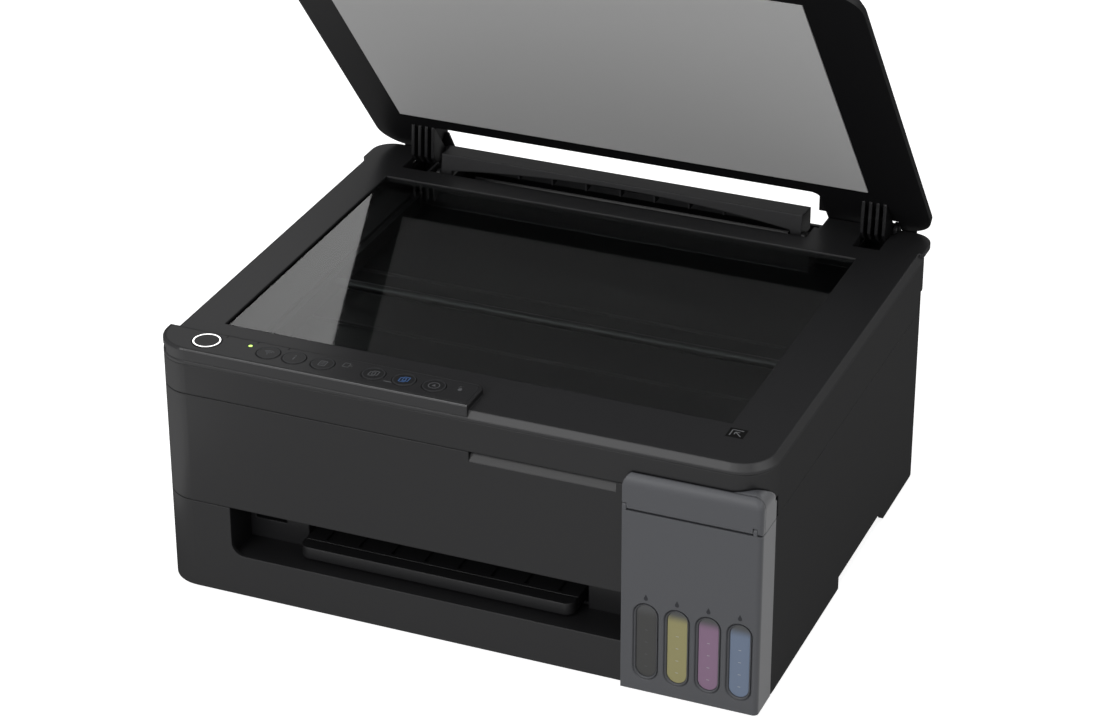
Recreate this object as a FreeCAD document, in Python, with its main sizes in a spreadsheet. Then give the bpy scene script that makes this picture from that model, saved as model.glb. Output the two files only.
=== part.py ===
import FreeCAD, Part
import math
import os
import re
import Sketcher

# An all-in-one inkjet printer with refillable tanks, in millimetres. The origin is the centre of the
# footprint on the ground, +Z is up, the front faces -Y. The lid stands open, as it is photographed.

# Driving dimensions. Each is written once here and lives in the document's spreadsheet. Places are
# given as distances from the wall, seam or axis that they belong to, so that they move with it.
SIZES = {
    # The whole body, lid closed
    "case_width": 375.0, "case_depth": 347.0, "case_height": 179.0, "front_setback": 5.0,
    "tail_depth": 48.0, "wall": 3.0, "seam": 0.4, "corner_front": 22.0, "corner_rear": 10.0,
    "foot_height": 2.0, "foot_radius": 8.0, "foot_inset": 30.0, "foot_toe": 20.0, "floor_rise": 2.0,
    "floor_thick": 3.0, "screw_radius": 3.2, "screw_side": 67.5, "screw_tank": 45.9,
    "screw_front": 108.5, "screw_rear": 55.5,
    # How far a cut runs past a face, how deep fused pieces bite, and the gap between pieces
    "over": 1.0, "bite": 0.5, "clearance": 0.3, "hairline": 0.2,
    # Heights of the seams, each down from the one above; the works' heights are for this seam height
    "lid_height": 23.0, "bed_depth": 25.0, "seam_step": 13.0, "works_height": 118.0,
    "side_return": 28.5, "grip_front": -28.5, "grip_length": 86.5, "grip_height": 8.0,
    "grip_slope": 6.0, "deck_side": 19.5, "deck_back": 65.5, "throat_lap": 5.0, "well_depth": 20.0,
    "vent_side": 62.5, "vent_pitch": 7.0, "vent_wide": 3.0, "vent_top": 28.0, "vent_tall": 40.0,
    # Paper exit
    "exit_drop": 20.0, "exit_tall": 32.0, "exit_side": 46.5, "exit_corner": 8.0,
    "guide_setback": 25.0, "guide_depth": 30.0, "guide_left": 39.0, "guide_right": 35.0,
    "slot_start": 4.0, "slot_length": 20.0, "slot_deep": 14.0, "slot_low": 13.0, "slot_high": 19.0,
    "notch_far": 10.0, "leg_wide": 6.0, "leg_back": 20.0, "leg_inset": 2.0, "runner_half": 4.0,
    "runner_lead": 12.0,
    "tray_thick": 7.5, "tray_setback": 10.0, "tray_length": 120.0, "tray_gap": 2.0,
    "tray_corner": 6.0, "leaf_width": 120.0, "leaf_thick": 2.4, "leaf_length": 95.0,
    "leaf_rise": 1.8, "pull_depth": 9.0, "groove_inset": 12.0, "groove_wide": 2.5, "groove_end": 1.5,
    # Lift recess in the front panel
    "lift_gap": 0.5, "lift_end": 5.4, "lift_height": 6.5, "lift_depth": 5.0, "lift_boss": 8.0,
    # Ink tank unit
    "tank_width": 81.6, "tank_side": 22.5, "cap_rise": 10.5, "cap_corner": 9.0, "cap_gap": 1.0,
    "cap_thick": 4.0, "cap_pin": 1.0, "cap_ear": 2.4, "cap_play": 0.2, "tank_edge": 3.9,
    "window_shift": 1.675, "window_space": 4.45, "window_height": 49.0, "window_low": 10.3,
    "window_bevel": 1.0, "tank_space": 2.65, "tank_room": 11.5, "tank_low": 8.0, "tank_skin": 1.2,
    "tank_drop": 10.0, "neck_back": 16.0, "neck_radius": 5.0, "neck_rise": 6.0, "plug_rim": 1.4,
    "plug_thick": 4.0, "plug_tab": 13.0, "outlet_radius": 2.2, "outlet_length": 7.0,
    "tongue_thick": 1.6, "tongue_drop": 5.0,
    # Lifting scanner unit
    "unit_lap": 3.1, "bezel_thick": 6.0, "tray_floor": 2.5, "skirt_gap": 3.0, "unit_axis_back": 15.5,
    "unit_axis_drop": 9.0, "pin_radius": 2.5, "pin_play": 0.06, "knuckle_radius": 5.5,
    "knuckle_side": 16.0, "knuckle_wide": 8.0, "ear_thick": 3.0, "ear_drop": 26.0, "ear_slope": 7.0,
    "glass_side": 26.0, "glass_end": 35.9, "glass_head": 43.8, "glass_foot": 28.9,
    "glass_ledge": 3.5, "glass_thick": 3.0, "glass_drop": 1.5, "bevel_depth": 4.2,
    "bevel_height": 2.8, "deck_thick": 3.0, "deck_corner": 14.0, "deck_gap": 4.0, "deck_lead": 8.0,
    "lug_play": 0.3,
    "lug_radius": 5.0, "pan_drop": 19.5, "pan_thick": 2.0, "well_rise": 7.0, "feed_side": 48.5,
    "feed_end": 73.5, "feed_depth": 12.0,
    # Button strip
    "strip_width": 25.9, "strip_rise": 4.0, "strip_ease": 1.2,
    "strip_corner": 5.0, "panel_thick": 1.6, "panel_inset": 1.8, "panel_play": 0.1,
    "button_radius": 7.0, "button_play": 0.25, "button_proud": 0.3, "button_deep": 5.5,
    "button_travel": 1.0, "button_line": 14.1, "power_place": 29.9, "key_first": 39.5, "power_radius": 8.6,
    "key_gap_one": 16.4, "key_gap_two": 17.9, "key_gap_three": 31.8, "key_gap_four": 18.9,
    "key_gap_five": 18.4, "strip_tail": 26.2,
    "lens_radius": 1.2, "lens_line": 17.9, "lens_place": 56.0, "lens_last": 14.5, "lens_proud": 0.1,
    # Scan head
    "rod_shift": 11.95, "rod_drop": 14.0, "rod_radius": 3.0, "cradle_wide": 6.0,
    "rib_front": 34.0, "rib_middle": 16.0, "rib_rear": 35.0, "bar_place": 37.5,
    "bar_width": 26.0, "bar_head": 4.7, "bar_foot": 1.6, "bar_floor": 20.0, "bar_drop": 6.5,
    "bar_wall": 4.0, "bar_end": 6.0,
    # Lid
    "lid_open": 50.7, "lid_axis_back": 19.5, "lid_axis_drop": 0.5, "lid_side": 1.5,
    "lid_lead": 26.9, "lid_overhang": 2.0, "lid_gap": 1.0, "lid_wall": 2.5, "lid_bevel": 18.0,
    "lid_corner": 20.0, "liner_thick": 2.5, "mat_side": 26.9, "mat_end": 36.7, "mat_head": 44.4,
    "mat_foot": 25.3, "mat_lift": 0.4, "mat_thick": 3.0, "notch_side": 4.0, "notch_end": 3.0,
    "notch_depth": 31.0, "notch_corner": 6.0, "fin_thick": 2.0, "fin_pitch": 4.6, "fin_reach": 31.0,
    "fin_deep": 13.0, "fin_toe": 16.0, "fin_heel": 8.0, "fin_play": 0.6, "barrel_radius": 4.0,
    "hinge_side": 38.5, "hinge_end": 35.0, "lug_thick": 2.6, "room_play": 1.4, "room_front": 9.0,
    # Rear feeder
    "tail_gap": 2.5, "tail_wall": 2.5, "tail_drop": 13.0, "tail_low": 12.0, "tail_foot": 10.0,
    "tail_toe": 8.0, "tail_slope": 47.0, "tail_lip": 12.0, "slot_level": 40.0, "feed_tilt": 30.0,
    "feed_back": 21.5, "feed_drop": 15.0, "sheet_side": 12.5, "sheet_end": 19.5,
    "hopper_thick": 2.0, "hopper_length": 106.0, "hopper_foot": 160.0, "support_thick": 2.5,
    "support_gap": 14.0, "hold_wide": 60.0, "hold_tall": 5.0, "guard_front": 4.5,
    "guard_drop": 4.0, "guard_rise": 10.0, "guard_back": 12.5, "guard_wall": 2.0, "guard_lean": 2.5,
    "guard_fall": 1.5, "guard_arch": 7.0, "arch_end": 10.0, "guard_pin": 1.5, "guard_ear": 3.0,
    "guard_post": 8.0, "rib_pitch": 23.0, "rib_thick": 1.2, "rib_back": 8.0, "edge_rise": 16.0,
    "edge_length": 46.0, "edge_thick": 2.5, "edge_drop": 14.0, "shoe_wide": 4.0, "shoe_thick": 2.0,
    # Paper drive
    "frame_side": 37.5, "frame_gap": 5.4, "frame_thick": 2.5, "frame_lip": 1.0,
    "frame_lead": 56.5, "frame_step": 12.0, "rise_top": 18.0, "rise_foot": 22.0, "heel_reach": 48.0,
    "heel_gap": 4.0, "light_gap": 34.0, "light_end": 30.0, "light_low": 20.0, "light_high": 55.0,
    "eject_back": 68.5, "roller_span": 90.0, "nip_rise": 2.0, "feed_roller_radius": 8.0,
    "eject_drop": 4.5, "eject_radius": 5.5, "ring_inset": 8.0, "ring_wide": 12.0,
    "shaft_radius": 3.0, "shaft_play": 0.05, "shaft_end": 3.0, "barrel_gap": 2.0,
    "gear_width": 5.0, "gear_gap": 1.0, "gear_module": 1.0, "feed_teeth": 40.0,
    "pinion_teeth": 18.0, "eject_teeth": 30.0, "gear_backlash": 0.3, "pinion_lean": 20.0,
    "pickup_reach": 85.66, "pickup_gap": 0.96, "pickup_radius": 15.4, "pickup_wide": 40.0,
    "pickup_flat": 9.0, "platen_gap": 12.0, "platen_thick": 4.0,
    "platen_rib": 4.0, "platen_rib_wide": 2.0, "motor_radius": 13.0, "motor_shaft": 2.0,
    "motor_length": 26.0,
    # Print carriage
    "rail_inset": 11.5, "rail_gap": 6.0, "rail_tall": 28.0, "rail_back": 12.0,
    "rail_sheet": 2.0, "rail_foot": 18.0, "rail_brow": 8.0, "post_inset": 6.0, "post_half": 5.0,
    "carriage_park": 29.1, "carriage_wide": 56.0, "carriage_lead": 4.0, "carriage_tail": 15.0,
    "carriage_gap": 5.0, "carriage_tall": 47.0, "carriage_skin": 2.0,
    "carriage_floor": 20.0, "carriage_nose": 16.0, "carriage_foot": 10.0, "head_drop": 5.0, "head_gap": 2.0,
    "head_half": 18.0, "head_front": 12.0, "head_rear": 14.0, "plate_inset": 4.0,
    "plate_thick": 1.5, "belt_side": 29.5, "belt_drop": 14.0, "belt_back": 3.0,
    "pulley_radius": 5.0, "pulley_rim": 1.6, "drum_lap": 0.6, "belt_play": 0.1, "belt_thick": 1.0,
    "belt_wide": 4.0, "clamp_half": 8.0, "clamp_wall": 2.5, "strip_drop": 3.4,
    "strip_height": 5.0, "ruler_inset": 8.0, "ruler_front": 7.6, "ruler_thick": 0.4,
    # Capping station, pad, boards and sockets
    "cap_left": 26.0, "cap_right": 24.0, "cap_lead": 4.0, "cap_tail": 6.0, "cap_wall": 4.0,
    "cap_floor": 12.0, "cap_drop": 4.0, "pad_half": 15.0, "pad_lead": 15.0, "pad_tail": 17.0,
    "wiper_thick": 1.5, "waste_side": 6.1, "waste_end": 15.5, "waste_rear": 33.5,
    "waste_tall": 18.0, "board_side": 5.5, "board_thick": 1.6, "board_lead": 98.5,
    "board_rear": 65.5, "board_drop": 22.0, "chip_size": 18.0, "chip_thick": 3.6,
    "supply_side": 6.5, "supply_wide": 28.0, "supply_lead": 57.5, "supply_top": 46.0,
    "inlet_side": 13.5, "inlet_wide": 24.0, "inlet_low": 19.0, "inlet_tall": 18.0,
    "inlet_deep": 8.0, "inlet_rim": 4.0, "inlet_lip": 4.5, "inlet_round": 4.0,
    "inlet_pin": 1.2, "pin_spread": 4.0,
    "usb_side": 11.5, "usb_wide": 14.0, "usb_low": 58.0, "usb_tall": 12.0, "usb_deep": 14.0,
    "usb_rim": 2.0, "tongue_wide": 5.2, "tongue_tall": 2.8, "socket_sink": 0.6,
}

# Places that follow from the driving dimensions.
DERIVED = {
    # Walls and seams
    "side_x": "case_width/2", "tank_y": "-case_depth/2", "tail_y": "case_depth/2",
    "front_y": "tank_y+front_setback", "back_y": "tail_y-tail_depth",
    "floor_low": "foot_height+floor_rise", "floor_top": "floor_low+floor_thick",
    "bed_top": "case_height-lid_height", "front_seam": "bed_top-bed_depth",
    "side_seam": "front_seam-seam_step", "squeeze": "side_seam/works_height",
    "return_y": "front_y+side_return",
    # Tank unit
    "tank_left": "side_x-tank_width", "panel_end": "tank_left-seam", "tank_seam_y": "tank_y+tank_side",
    "cap_top": "front_seam+cap_rise", "cap_y": "tank_y+cap_thick/2", "cap_z": "side_seam+cap_thick/2",
    "window_first": "tank_left+tank_edge+window_pitch/2+window_shift",
    "window_pitch": "(tank_width-2*tank_edge)/4", "window_width": "window_pitch-window_space",
    "tank_wide": "window_pitch-tank_space", "tank_rear": "carriage_front-tank_room",
    "tank_high": "side_seam-tank_drop",
    # Paper exit
    "lip_top": "eject_z-exit_drop*squeeze", "apron_top": "lip_top+exit_tall*squeeze",
    "exit_left": "-side_x+exit_side",
    "tray_left": "exit_left+guide_left", "tray_right": "panel_end-guide_right",
    "tray_width": "tray_right-tray_left", "tray_low": "lip_top+tray_gap",
    "tray_front": "front_y+tray_setback", "tray_rear": "tray_front+tray_length",
    "tray_middle": "(tray_left+tray_right)/2", "leaf_low": "tray_low+leaf_rise",
    "groove_pitch": "(tray_width-2*groove_inset-groove_end)/7",
    "guide_front": "front_y+guide_setback", "guide_rear": "guide_front+guide_depth",
    # Scanner unit
    "unit_rear": "back_y+unit_lap", "unit_axis_y": "back_y+unit_axis_back",
    "unit_axis_z": "bed_top-unit_axis_drop", "knuckle_x": "side_x-knuckle_side",
    "bezel_low": "bed_top-bezel_thick", "glass_top": "bed_top-glass_drop",
    "glass_left": "-side_x+glass_side", "glass_right": "side_x-glass_end",
    "glass_front": "front_y+glass_head", "glass_rear": "back_y-glass_foot",
    "feed_gap_left": "-side_x+feed_side", "feed_gap_right": "side_x-feed_end",
    "feed_gap_front": "back_y-feed_depth", "strip_top": "bed_top+strip_rise",
    "strip_right": "key_six_x+strip_tail", "strip_back": "front_y+strip_width",
    "lift_left": "strip_right+lift_gap", "lift_right": "tank_left-lift_end",
    "button_y": "front_y+button_line", "lens_y": "front_y+lens_line", "lens_x": "-side_x+lens_place",
    "power_x": "-side_x+power_place", "key_one_x": "power_x+key_first",
    "key_two_x": "key_one_x+key_gap_one", "key_three_x": "key_two_x+key_gap_two",
    "key_four_x": "key_three_x+key_gap_three", "key_five_x": "key_four_x+key_gap_four",
    "key_six_x": "key_five_x+key_gap_five",
    "rod_y": "(glass_front+glass_rear)/2-rod_shift", "rod_z": "bed_top-rod_drop",
    "bar_low_end": "-side_x+bar_place-bar_width/2", "bar_front": "glass_front+bar_head",
    "bar_rear": "glass_rear-bar_foot", "bar_low": "bed_top-bar_floor", "bar_high": "bed_top-bar_drop",
    # Lid
    "lid_axis_y": "back_y+lid_axis_back", "lid_axis_z": "bed_top-lid_axis_drop",
    "lid_half": "side_x-lid_side", "lid_front": "front_y+lid_lead", "lid_low": "bed_top+lid_gap",
    "lid_rear": "lid_axis_y+lid_overhang", "notch_front": "lid_axis_y-notch_depth",
    "lid_notch_left": "feed_gap_left-notch_side", "lid_notch_right": "feed_gap_right+notch_end",
    "mat_left": "-side_x+mat_side", "mat_right": "side_x-mat_end", "mat_front": "front_y+mat_head",
    "mat_rear": "back_y-mat_foot", "mat_low": "bed_top+mat_lift", "hinge_left": "-side_x+hinge_side",
    "hinge_right": "side_x-hinge_end", "deck_rear": "lid_axis_y-bite", "pan_low": "lid_axis_z-pan_drop",
    "hinge_half": "fin_pitch*1.5+fin_thick/2",
    # Rear feeder
    "tail_left": "feed_gap_left+tail_gap", "tail_right": "feed_gap_right-tail_gap",
    "tail_top": "bed_top-tail_drop", "feed_y": "back_y+feed_back", "feed_z": "bed_top-feed_drop",
    "along_y": "sin(feed_tilt)", "along_z": "cos(feed_tilt)", "sheet_left": "tail_left+sheet_side",
    "sheet_right": "tail_right-sheet_end", "sheet_wide": "sheet_right-sheet_left",
    "sheet_middle": "(sheet_left+sheet_right)/2", "support_length": "hopper_length-support_gap",
    "guard_axis_y": "back_y-guard_front",
    "guard_axis_z": "bed_top-guard_drop", "guard_top": "bed_top+guard_rise",
    "guard_rear": "back_y+guard_back",
    # Paper drive
    "frame_left_x": "-side_x+frame_side", "frame_right_x": "tank_left-frame_gap",
    "frame_low": "platen_top+frame_lip",
    "frame_front": "front_y+frame_lead", "eject_y": "front_y+eject_back",
    "eject_z": "platen_top-eject_drop", "feed_roller_y": "eject_y+roller_span",
    "feed_roller_z": "platen_top+nip_rise", "pickup_off": "pickup_radius+pickup_gap",
    "pickup_y": "feed_y-pickup_reach*along_y-pickup_off*along_z",
    "pickup_z": "feed_z-pickup_reach*along_z+pickup_off*along_y", "ring_pitch": "(sheet_wide-2*ring_wide)/6",
    "platen_front": "eject_y+platen_gap", "platen_rear": "feed_roller_y-platen_gap",
    "platen_top": "carriage_low-head_drop-head_gap", "platen_pitch": "(sheet_wide-3*platen_rib)/12",
    "gear_low": "frame_left_x-gear_width-gear_gap",
    "train_span": "sqrt((eject_y-feed_roller_y)^2+(eject_z-feed_roller_z)^2)",
    "idler_teeth": "ceil((2*train_span/gear_module-feed_teeth-eject_teeth)/2)",
    "train_first": "gear_module*(feed_teeth+idler_teeth)/2",
    "train_last": "gear_module*(idler_teeth+eject_teeth)/2",
    "train_bend": "acos((train_first^2+train_span^2-train_last^2)/(2*train_first*train_span))",
    "train_aim": "atan2(eject_z-feed_roller_z; eject_y-feed_roller_y)+train_bend",
    "idler_y": "feed_roller_y+train_first*cos(train_aim)",
    "idler_z": "feed_roller_z+train_first*sin(train_aim)",
    "pinion_reach": "gear_module*(feed_teeth+pinion_teeth)/2",
    "pinion_y": "feed_roller_y+pinion_reach*cos(pinion_lean)",
    "pinion_z": "feed_roller_z+pinion_reach*sin(pinion_lean)",
    # Print carriage
    "rail_half": "side_x-rail_inset", "rail_y": "feed_roller_y+rail_back",
    "rail_high": "side_seam-rail_gap*squeeze", "rail_low": "rail_high-rail_tall*squeeze",
    "carriage_home": "tank_left+carriage_park", "carriage_front": "platen_front+carriage_lead",
    "carriage_rear": "feed_roller_y-carriage_tail", "carriage_high": "rail_high-carriage_gap*squeeze",
    "carriage_low": "carriage_high-carriage_tall*squeeze", "belt_half": "side_x-belt_side",
    "belt_z": "rail_high-belt_drop*squeeze", "belt_y": "rail_y-belt_back", "strip_z": "rail_high-strip_drop",
    # Boards and sockets
    "inlet_left": "-side_x+inlet_side", "inlet_right": "inlet_left+inlet_wide",
    "inlet_high": "inlet_low+inlet_tall", "usb_left": "-side_x+usb_side",
    "usb_right": "usb_left+usb_wide", "usb_high": "usb_low+usb_tall",
}

doc = FreeCAD.newDocument("printer")
sheet = doc.addObject("Spreadsheet::Sheet", "Sizes")
NODES = {}
TOLERANCE = 0.01


def fill_sheet():
    """Write every driving dimension to its own cell, with its name as the alias."""
    for row, (name, value) in enumerate(SIZES.items(), 1):
        sheet.set(f"A{row}", name)
        sheet.set(f"B{row}", str(value))
        sheet.setAlias(f"B{row}", name)
    doc.recompute()


def ex(text):
    """Turn plain names into a spreadsheet expression."""
    def swap(match):
        word = match.group(0)
        if word in DERIVED:
            return f"({ex(DERIVED[word])})"
        return f"Sizes.{word}" if word in SIZES else word
    return re.sub(r"[a-z][a-z_]*", swap, str(text))


def val(text):
    """The number that an expression gives."""
    return float(sheet.evalExpression(ex(text)))


def bind(item, prop, text):
    """Bind a property to an expression of the sheet."""
    item.setExpression(prop, ex(text))


def node(label, item):
    """Name a finished sub-part."""
    item.Label = label
    NODES[label] = item
    return item


def box(xs, ys, zs):
    """A block between two places on each axis."""
    solid = doc.addObject("Part::Box", "block")
    for prop, axis, (low, high) in zip(("Length", "Width", "Height"), "xyz", (xs, ys, zs)):
        bind(solid, prop, f"({high})-({low})")
        bind(solid, f"Placement.Base.{axis}", low)
    return solid


AIM = {"x": ((0, 1, 0), 90), "y": ((1, 0, 0), -90), "z": ((0, 0, 1), 0)}


def rod(axis, centre, radius, low, high):
    """A cylinder along an axis. The centre gives the other two places, in x y z order."""
    solid = doc.addObject("Part::Cylinder", "rod")
    turn, angle = AIM[axis]
    solid.Placement.Rotation = FreeCAD.Rotation(FreeCAD.Vector(turn), angle)
    places = list(centre)
    places.insert("xyz".index(axis), low)
    bind(solid, "Radius", radius)
    bind(solid, "Height", f"({high})-({low})")
    for name, place in zip("xyz", places):
        bind(solid, f"Placement.Base.{name}", place)
    return solid


PLANES = {"z": "XY_Plane", "y": "XZ_Plane", "x": "YZ_Plane"}


def prism(axis, points, low, high):
    """A padded outline: the points are pairs of expressions in the plane across the axis."""
    body = doc.addObject("PartDesign::Body", "profile")
    plane = next(p for p in body.Origin.OriginFeatures if p.Role == PLANES[axis])
    sketch = body.newObject("Sketcher::SketchObject", "outline")
    sketch.AttachmentSupport = [(plane, "")]
    sketch.MapMode = "FlatFace"
    bind(sketch, "AttachmentOffset.Base.z", f"-({high})" if axis == "y" else low)
    corners = [FreeCAD.Vector(val(u), val(v), 0) for u, v in points]
    for start, end in zip(corners, corners[1:] + corners[:1]):
        sketch.addGeometry(Part.LineSegment(start, end), False)
    count = len(points)
    for index in range(count):
        sketch.addConstraint(Sketcher.Constraint("Coincident", index, 2, (index + 1) % count, 1))
    for index, (place, corner) in enumerate(zip(points, corners)):
        for kind, text, size in zip(("DistanceX", "DistanceY"), place, (corner.x, corner.y)):
            line = sketch.addConstraint(Sketcher.Constraint(kind, -1, 1, index, 1, size))
            bind(sketch, f"Constraints[{line}]", text)
    pad = body.newObject("PartDesign::Pad", "pad")
    pad.Profile = sketch
    bind(pad, "Length", f"({high})-({low})")
    return body


def fuse(*items):
    """Several solids as one piece."""
    joined = doc.addObject("Part::MultiFuse", "joined")
    joined.Shapes = list(items)
    joined.Refine = True
    return joined


def group(*items):
    """Separate solids that share a node."""
    several = doc.addObject("Part::Compound", "group")
    several.Links = list(items)
    return several


def cut(base, *tools):
    """A piece with other solids taken out of it."""
    result = doc.addObject("Part::Cut", "cut")
    result.Base = base
    result.Tool = tools[0] if len(tools) == 1 else fuse(*tools)
    result.Refine = True
    return result


def overlap(base, tool):
    """What two solids share."""
    shared = doc.addObject("Part::Common", "shared")
    shared.Base = base
    shared.Tool = tool
    return shared


def near(place, wanted):
    """Whether two places are the same to a hundredth of a millimetre."""
    return abs(place - wanted) < TOLERANCE


def edges_where(shape, axis, places):
    """Numbers of the straight edges along an axis whose middle lies at the given places."""
    found = []
    wanted = {name: val(text) for name, text in places.items()}
    for number, edge in enumerate(shape.Edges, 1):
        if edge.Curve.TypeId != "Part::GeomLine":
            continue
        run = edge.tangentAt(edge.FirstParameter)
        middle = edge.CenterOfMass
        there = all(near(getattr(middle, name), place) for name, place in wanted.items())
        if near(abs(getattr(run, axis)), 1) and there:
            found.append(number)
    return found


def ease(base, radius, axis, *corners):
    """Round the edges along an axis at the given corners."""
    base.recompute(True)
    numbers = [n for places in corners for n in edges_where(base.Shape, axis, places)]
    return trim("Part::Fillet", base, numbers, radius, radius)


def trim(kind, base, numbers, first, second):
    """Round or bevel the numbered edges of a piece."""
    result = doc.addObject(kind, "trimmed")
    result.Base = base
    result.Edges = [(number, val(first), val(second)) for number in numbers]
    return result


def rounded_case(low, high, inset="0", rear_edge="back_y"):
    """The body's plan outline, with its large front and small rear corners, from one height up."""
    left, right = f"-side_x+({inset})", f"side_x-({inset})"
    front, rear = f"front_y+({inset})", f"{rear_edge}-({inset})"
    plain = box((left, right), (front, rear), (low, high))
    soft = ease(plain, f"corner_front-({inset})", "z", {"x": left, "y": front}, {"x": right, "y": front})
    return ease(soft, f"corner_rear-({inset})", "z", {"x": left, "y": rear}, {"x": right, "y": rear})


def tilted(offset, reach):
    """Y and Z of a place on the feeder's slope: an offset in front of it and a reach up along it."""
    return (f"feed_y+({reach})*along_y-({offset})*along_z",
            f"feed_z+({reach})*along_z+({offset})*along_y")


def slope_plate(xs, behind, front, low, high):
    """A plate that lies along the feeder's slope."""
    corners = [tilted(behind, low), tilted(front, low), tilted(front, high), tilted(behind, high)]
    return prism("x", corners, *xs)


# The case


def rubber_feet():
    """Four low discs under the corners."""
    feet = []
    for x in ("-side_x+foot_inset", "side_x-foot_inset"):
        for y in ("front_y+foot_inset+foot_toe", "back_y-foot_inset"):
            feet.append(rod("z", (x, y), "foot_radius", "0", "floor_low"))
    return node("rubber_feet", group(*feet))


def base_pan():
    """The floor of the printer with the front apron that frames the paper exit."""
    left, right, rear = "-side_x+wall+seam", "side_x-wall-seam", "back_y-wall-seam"
    above = "apron_top+wall"
    ends = ("-side_x-over", "side_x+over")
    floor = box((left, right), ("return_y-over", rear), ("floor_low", "floor_top"))
    floor = ease(floor, "corner_rear-wall", "z", {"x": left, "y": rear}, {"x": right, "y": rear})
    skin = rounded_case("foot_height", "apron_top-seam")
    hollow = rounded_case("foot_height+wall", above, "wall")
    behind = box(ends, ("return_y", "back_y+over"), ("0", above))
    tank_bay = box(("panel_end", "side_x+over"), ("front_y-over", "return_y+over"), ("0", above))
    depth = ("front_y+over", "return_y")
    frame = box(("exit_left-wall", "panel_end"), depth, ("lip_top-wall", "lip_top"))
    cheek = box(("exit_left-wall", "exit_left"), depth, ("lip_top-wall", "apron_top-seam"))
    mouth = box(("exit_left", "panel_end+over"), ("front_y-over", "return_y+over"), ("lip_top", above))
    mouth = ease(mouth, "exit_corner", "y", {"x": "exit_left", "z": "lip_top"})
    apron = cut(fuse(cut(skin, hollow), frame, cheek), behind, tank_bay, mouth)
    tongue = box((left, "panel_end"), ("return_y-wall/2", "return_y"), ("floor_low", "lip_top-wall+over"))
    return node("base_pan", fuse(apron, floor, tongue))


def grip(side):
    """The hand grip cut into the lower edge of a side wall, with a sloped rear end."""
    low, high = "foot_height-over", "foot_height+grip_height"
    rear = "grip_front+grip_length+grip_slope/3"
    points = [("grip_front", low), (rear, low), (f"{rear}-grip_slope", high), ("grip_front", high)]
    inner, outer = "side_x-wall-over", "side_x+over"
    return prism("x", points, *((f"-({outer})", f"-({inner})") if side < 0 else (inner, outer)))


def main_case():
    """Left, right and rear walls, the deck over the works and the ears of the scanner hinge."""
    above, through = "front_seam+wall", ("back_y-wall-over", "back_y+over")
    skin = rounded_case("foot_height", "front_seam-seam")
    hollow = rounded_case("0", above, "wall")
    front = box(("-side_x-over", "panel_end+corner_rear"), ("front_y-over", "return_y+seam"), ("0", above))
    bay = box(("panel_end-over", "side_x+over"), ("front_y-over", "tank_seam_y+seam"), ("0", above))
    lowered = box(("-side_x-over", "side_x+over"), ("front_y-over", "feed_gap_front"),
                  ("side_seam-seam", above))
    throat_x = ("tail_left+tail_wall", "tail_right-tail_wall")
    paper = box(throat_x, through, ("slot_level", above))
    inlet = box(("inlet_left", "inlet_right"), through, ("inlet_low", "inlet_high"))
    socket = box(("usb_left", "usb_right"), through, ("usb_low", "usb_high"))
    openings = [front, bay, lowered, paper, inlet, socket, grip(-1), grip(1)]
    walls = cut(skin, hollow, *openings, *[vent(step, through) for step in range(6)])
    return node("main_case", fuse(walls, works_deck(throat_x), *deck_ends(), *[ear(x) for x in hinge_ears()]))


def vent(step, through):
    """One upright slot of the row in the rear wall."""
    start = f"side_x-vent_side+{step}*vent_pitch"
    high = "side_seam-vent_top"
    return box((start, f"{start}+vent_wide"), through, (f"{high}-vent_tall", high))


def works_deck(throat_x):
    """The deck below the scanner, open over the carriage and where the paper comes in."""
    deck = box(("-side_x+wall-bite", "side_x-wall+bite"), ("return_y+seam", "back_y-wall+bite"),
               ("side_seam-seam-wall", "side_seam-seam"))
    depth = ("side_seam-well_depth", "side_seam+over")
    well = box(("-side_x+deck_side", "side_x-deck_side"), ("tank_seam_y", "back_y-deck_back"), depth)
    throat = box(throat_x, ("back_y-deck_back-throat_lap", "back_y+over"), depth)
    return cut(deck, well, throat)


def deck_ends():
    """Two upright strips behind the front edges of the side walls."""
    heights = ("side_seam-wall-over", "front_seam-seam")
    return [box((x, f"{x}+wall"), (start, "return_y+feed_depth"), heights)
            for x, start in (("-side_x+wall+bite", "return_y+seam"),
                             ("side_x-2*wall-bite", "tank_seam_y+seam"))]


def hinge_ears():
    """Where the four ears of the scanner hinge begin, from left to right."""
    inner, outer = "knuckle_x-knuckle_wide/2-seam-ear_thick", "knuckle_x+knuckle_wide/2+seam"
    return (f"-({outer})-ear_thick", f"-({inner})-ear_thick", inner, outer)


def ear(x):
    """One upright ear behind the rear wall, with a hole for the hinge pin."""
    y, z, r = "unit_axis_y", "unit_axis_z", "knuckle_radius"
    low, top = "front_seam-ear_drop", "front_seam-seam"
    points = [("back_y-over", low), (f"{y}+{r}", f"{low}+ear_slope"), (f"{y}+{r}", z), (f"{y}-{r}", z),
              (f"{y}-{r}", top), ("back_y-over", top)]
    plate = prism("x", points, x, f"{x}+ear_thick")
    crown = rod("x", (y, z), r, x, f"{x}+ear_thick")
    hole = rod("x", (y, z), "pin_radius+pin_play", f"{x}-over", f"{x}+ear_thick+over")
    return cut(fuse(plate, crown), hole)


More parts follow.
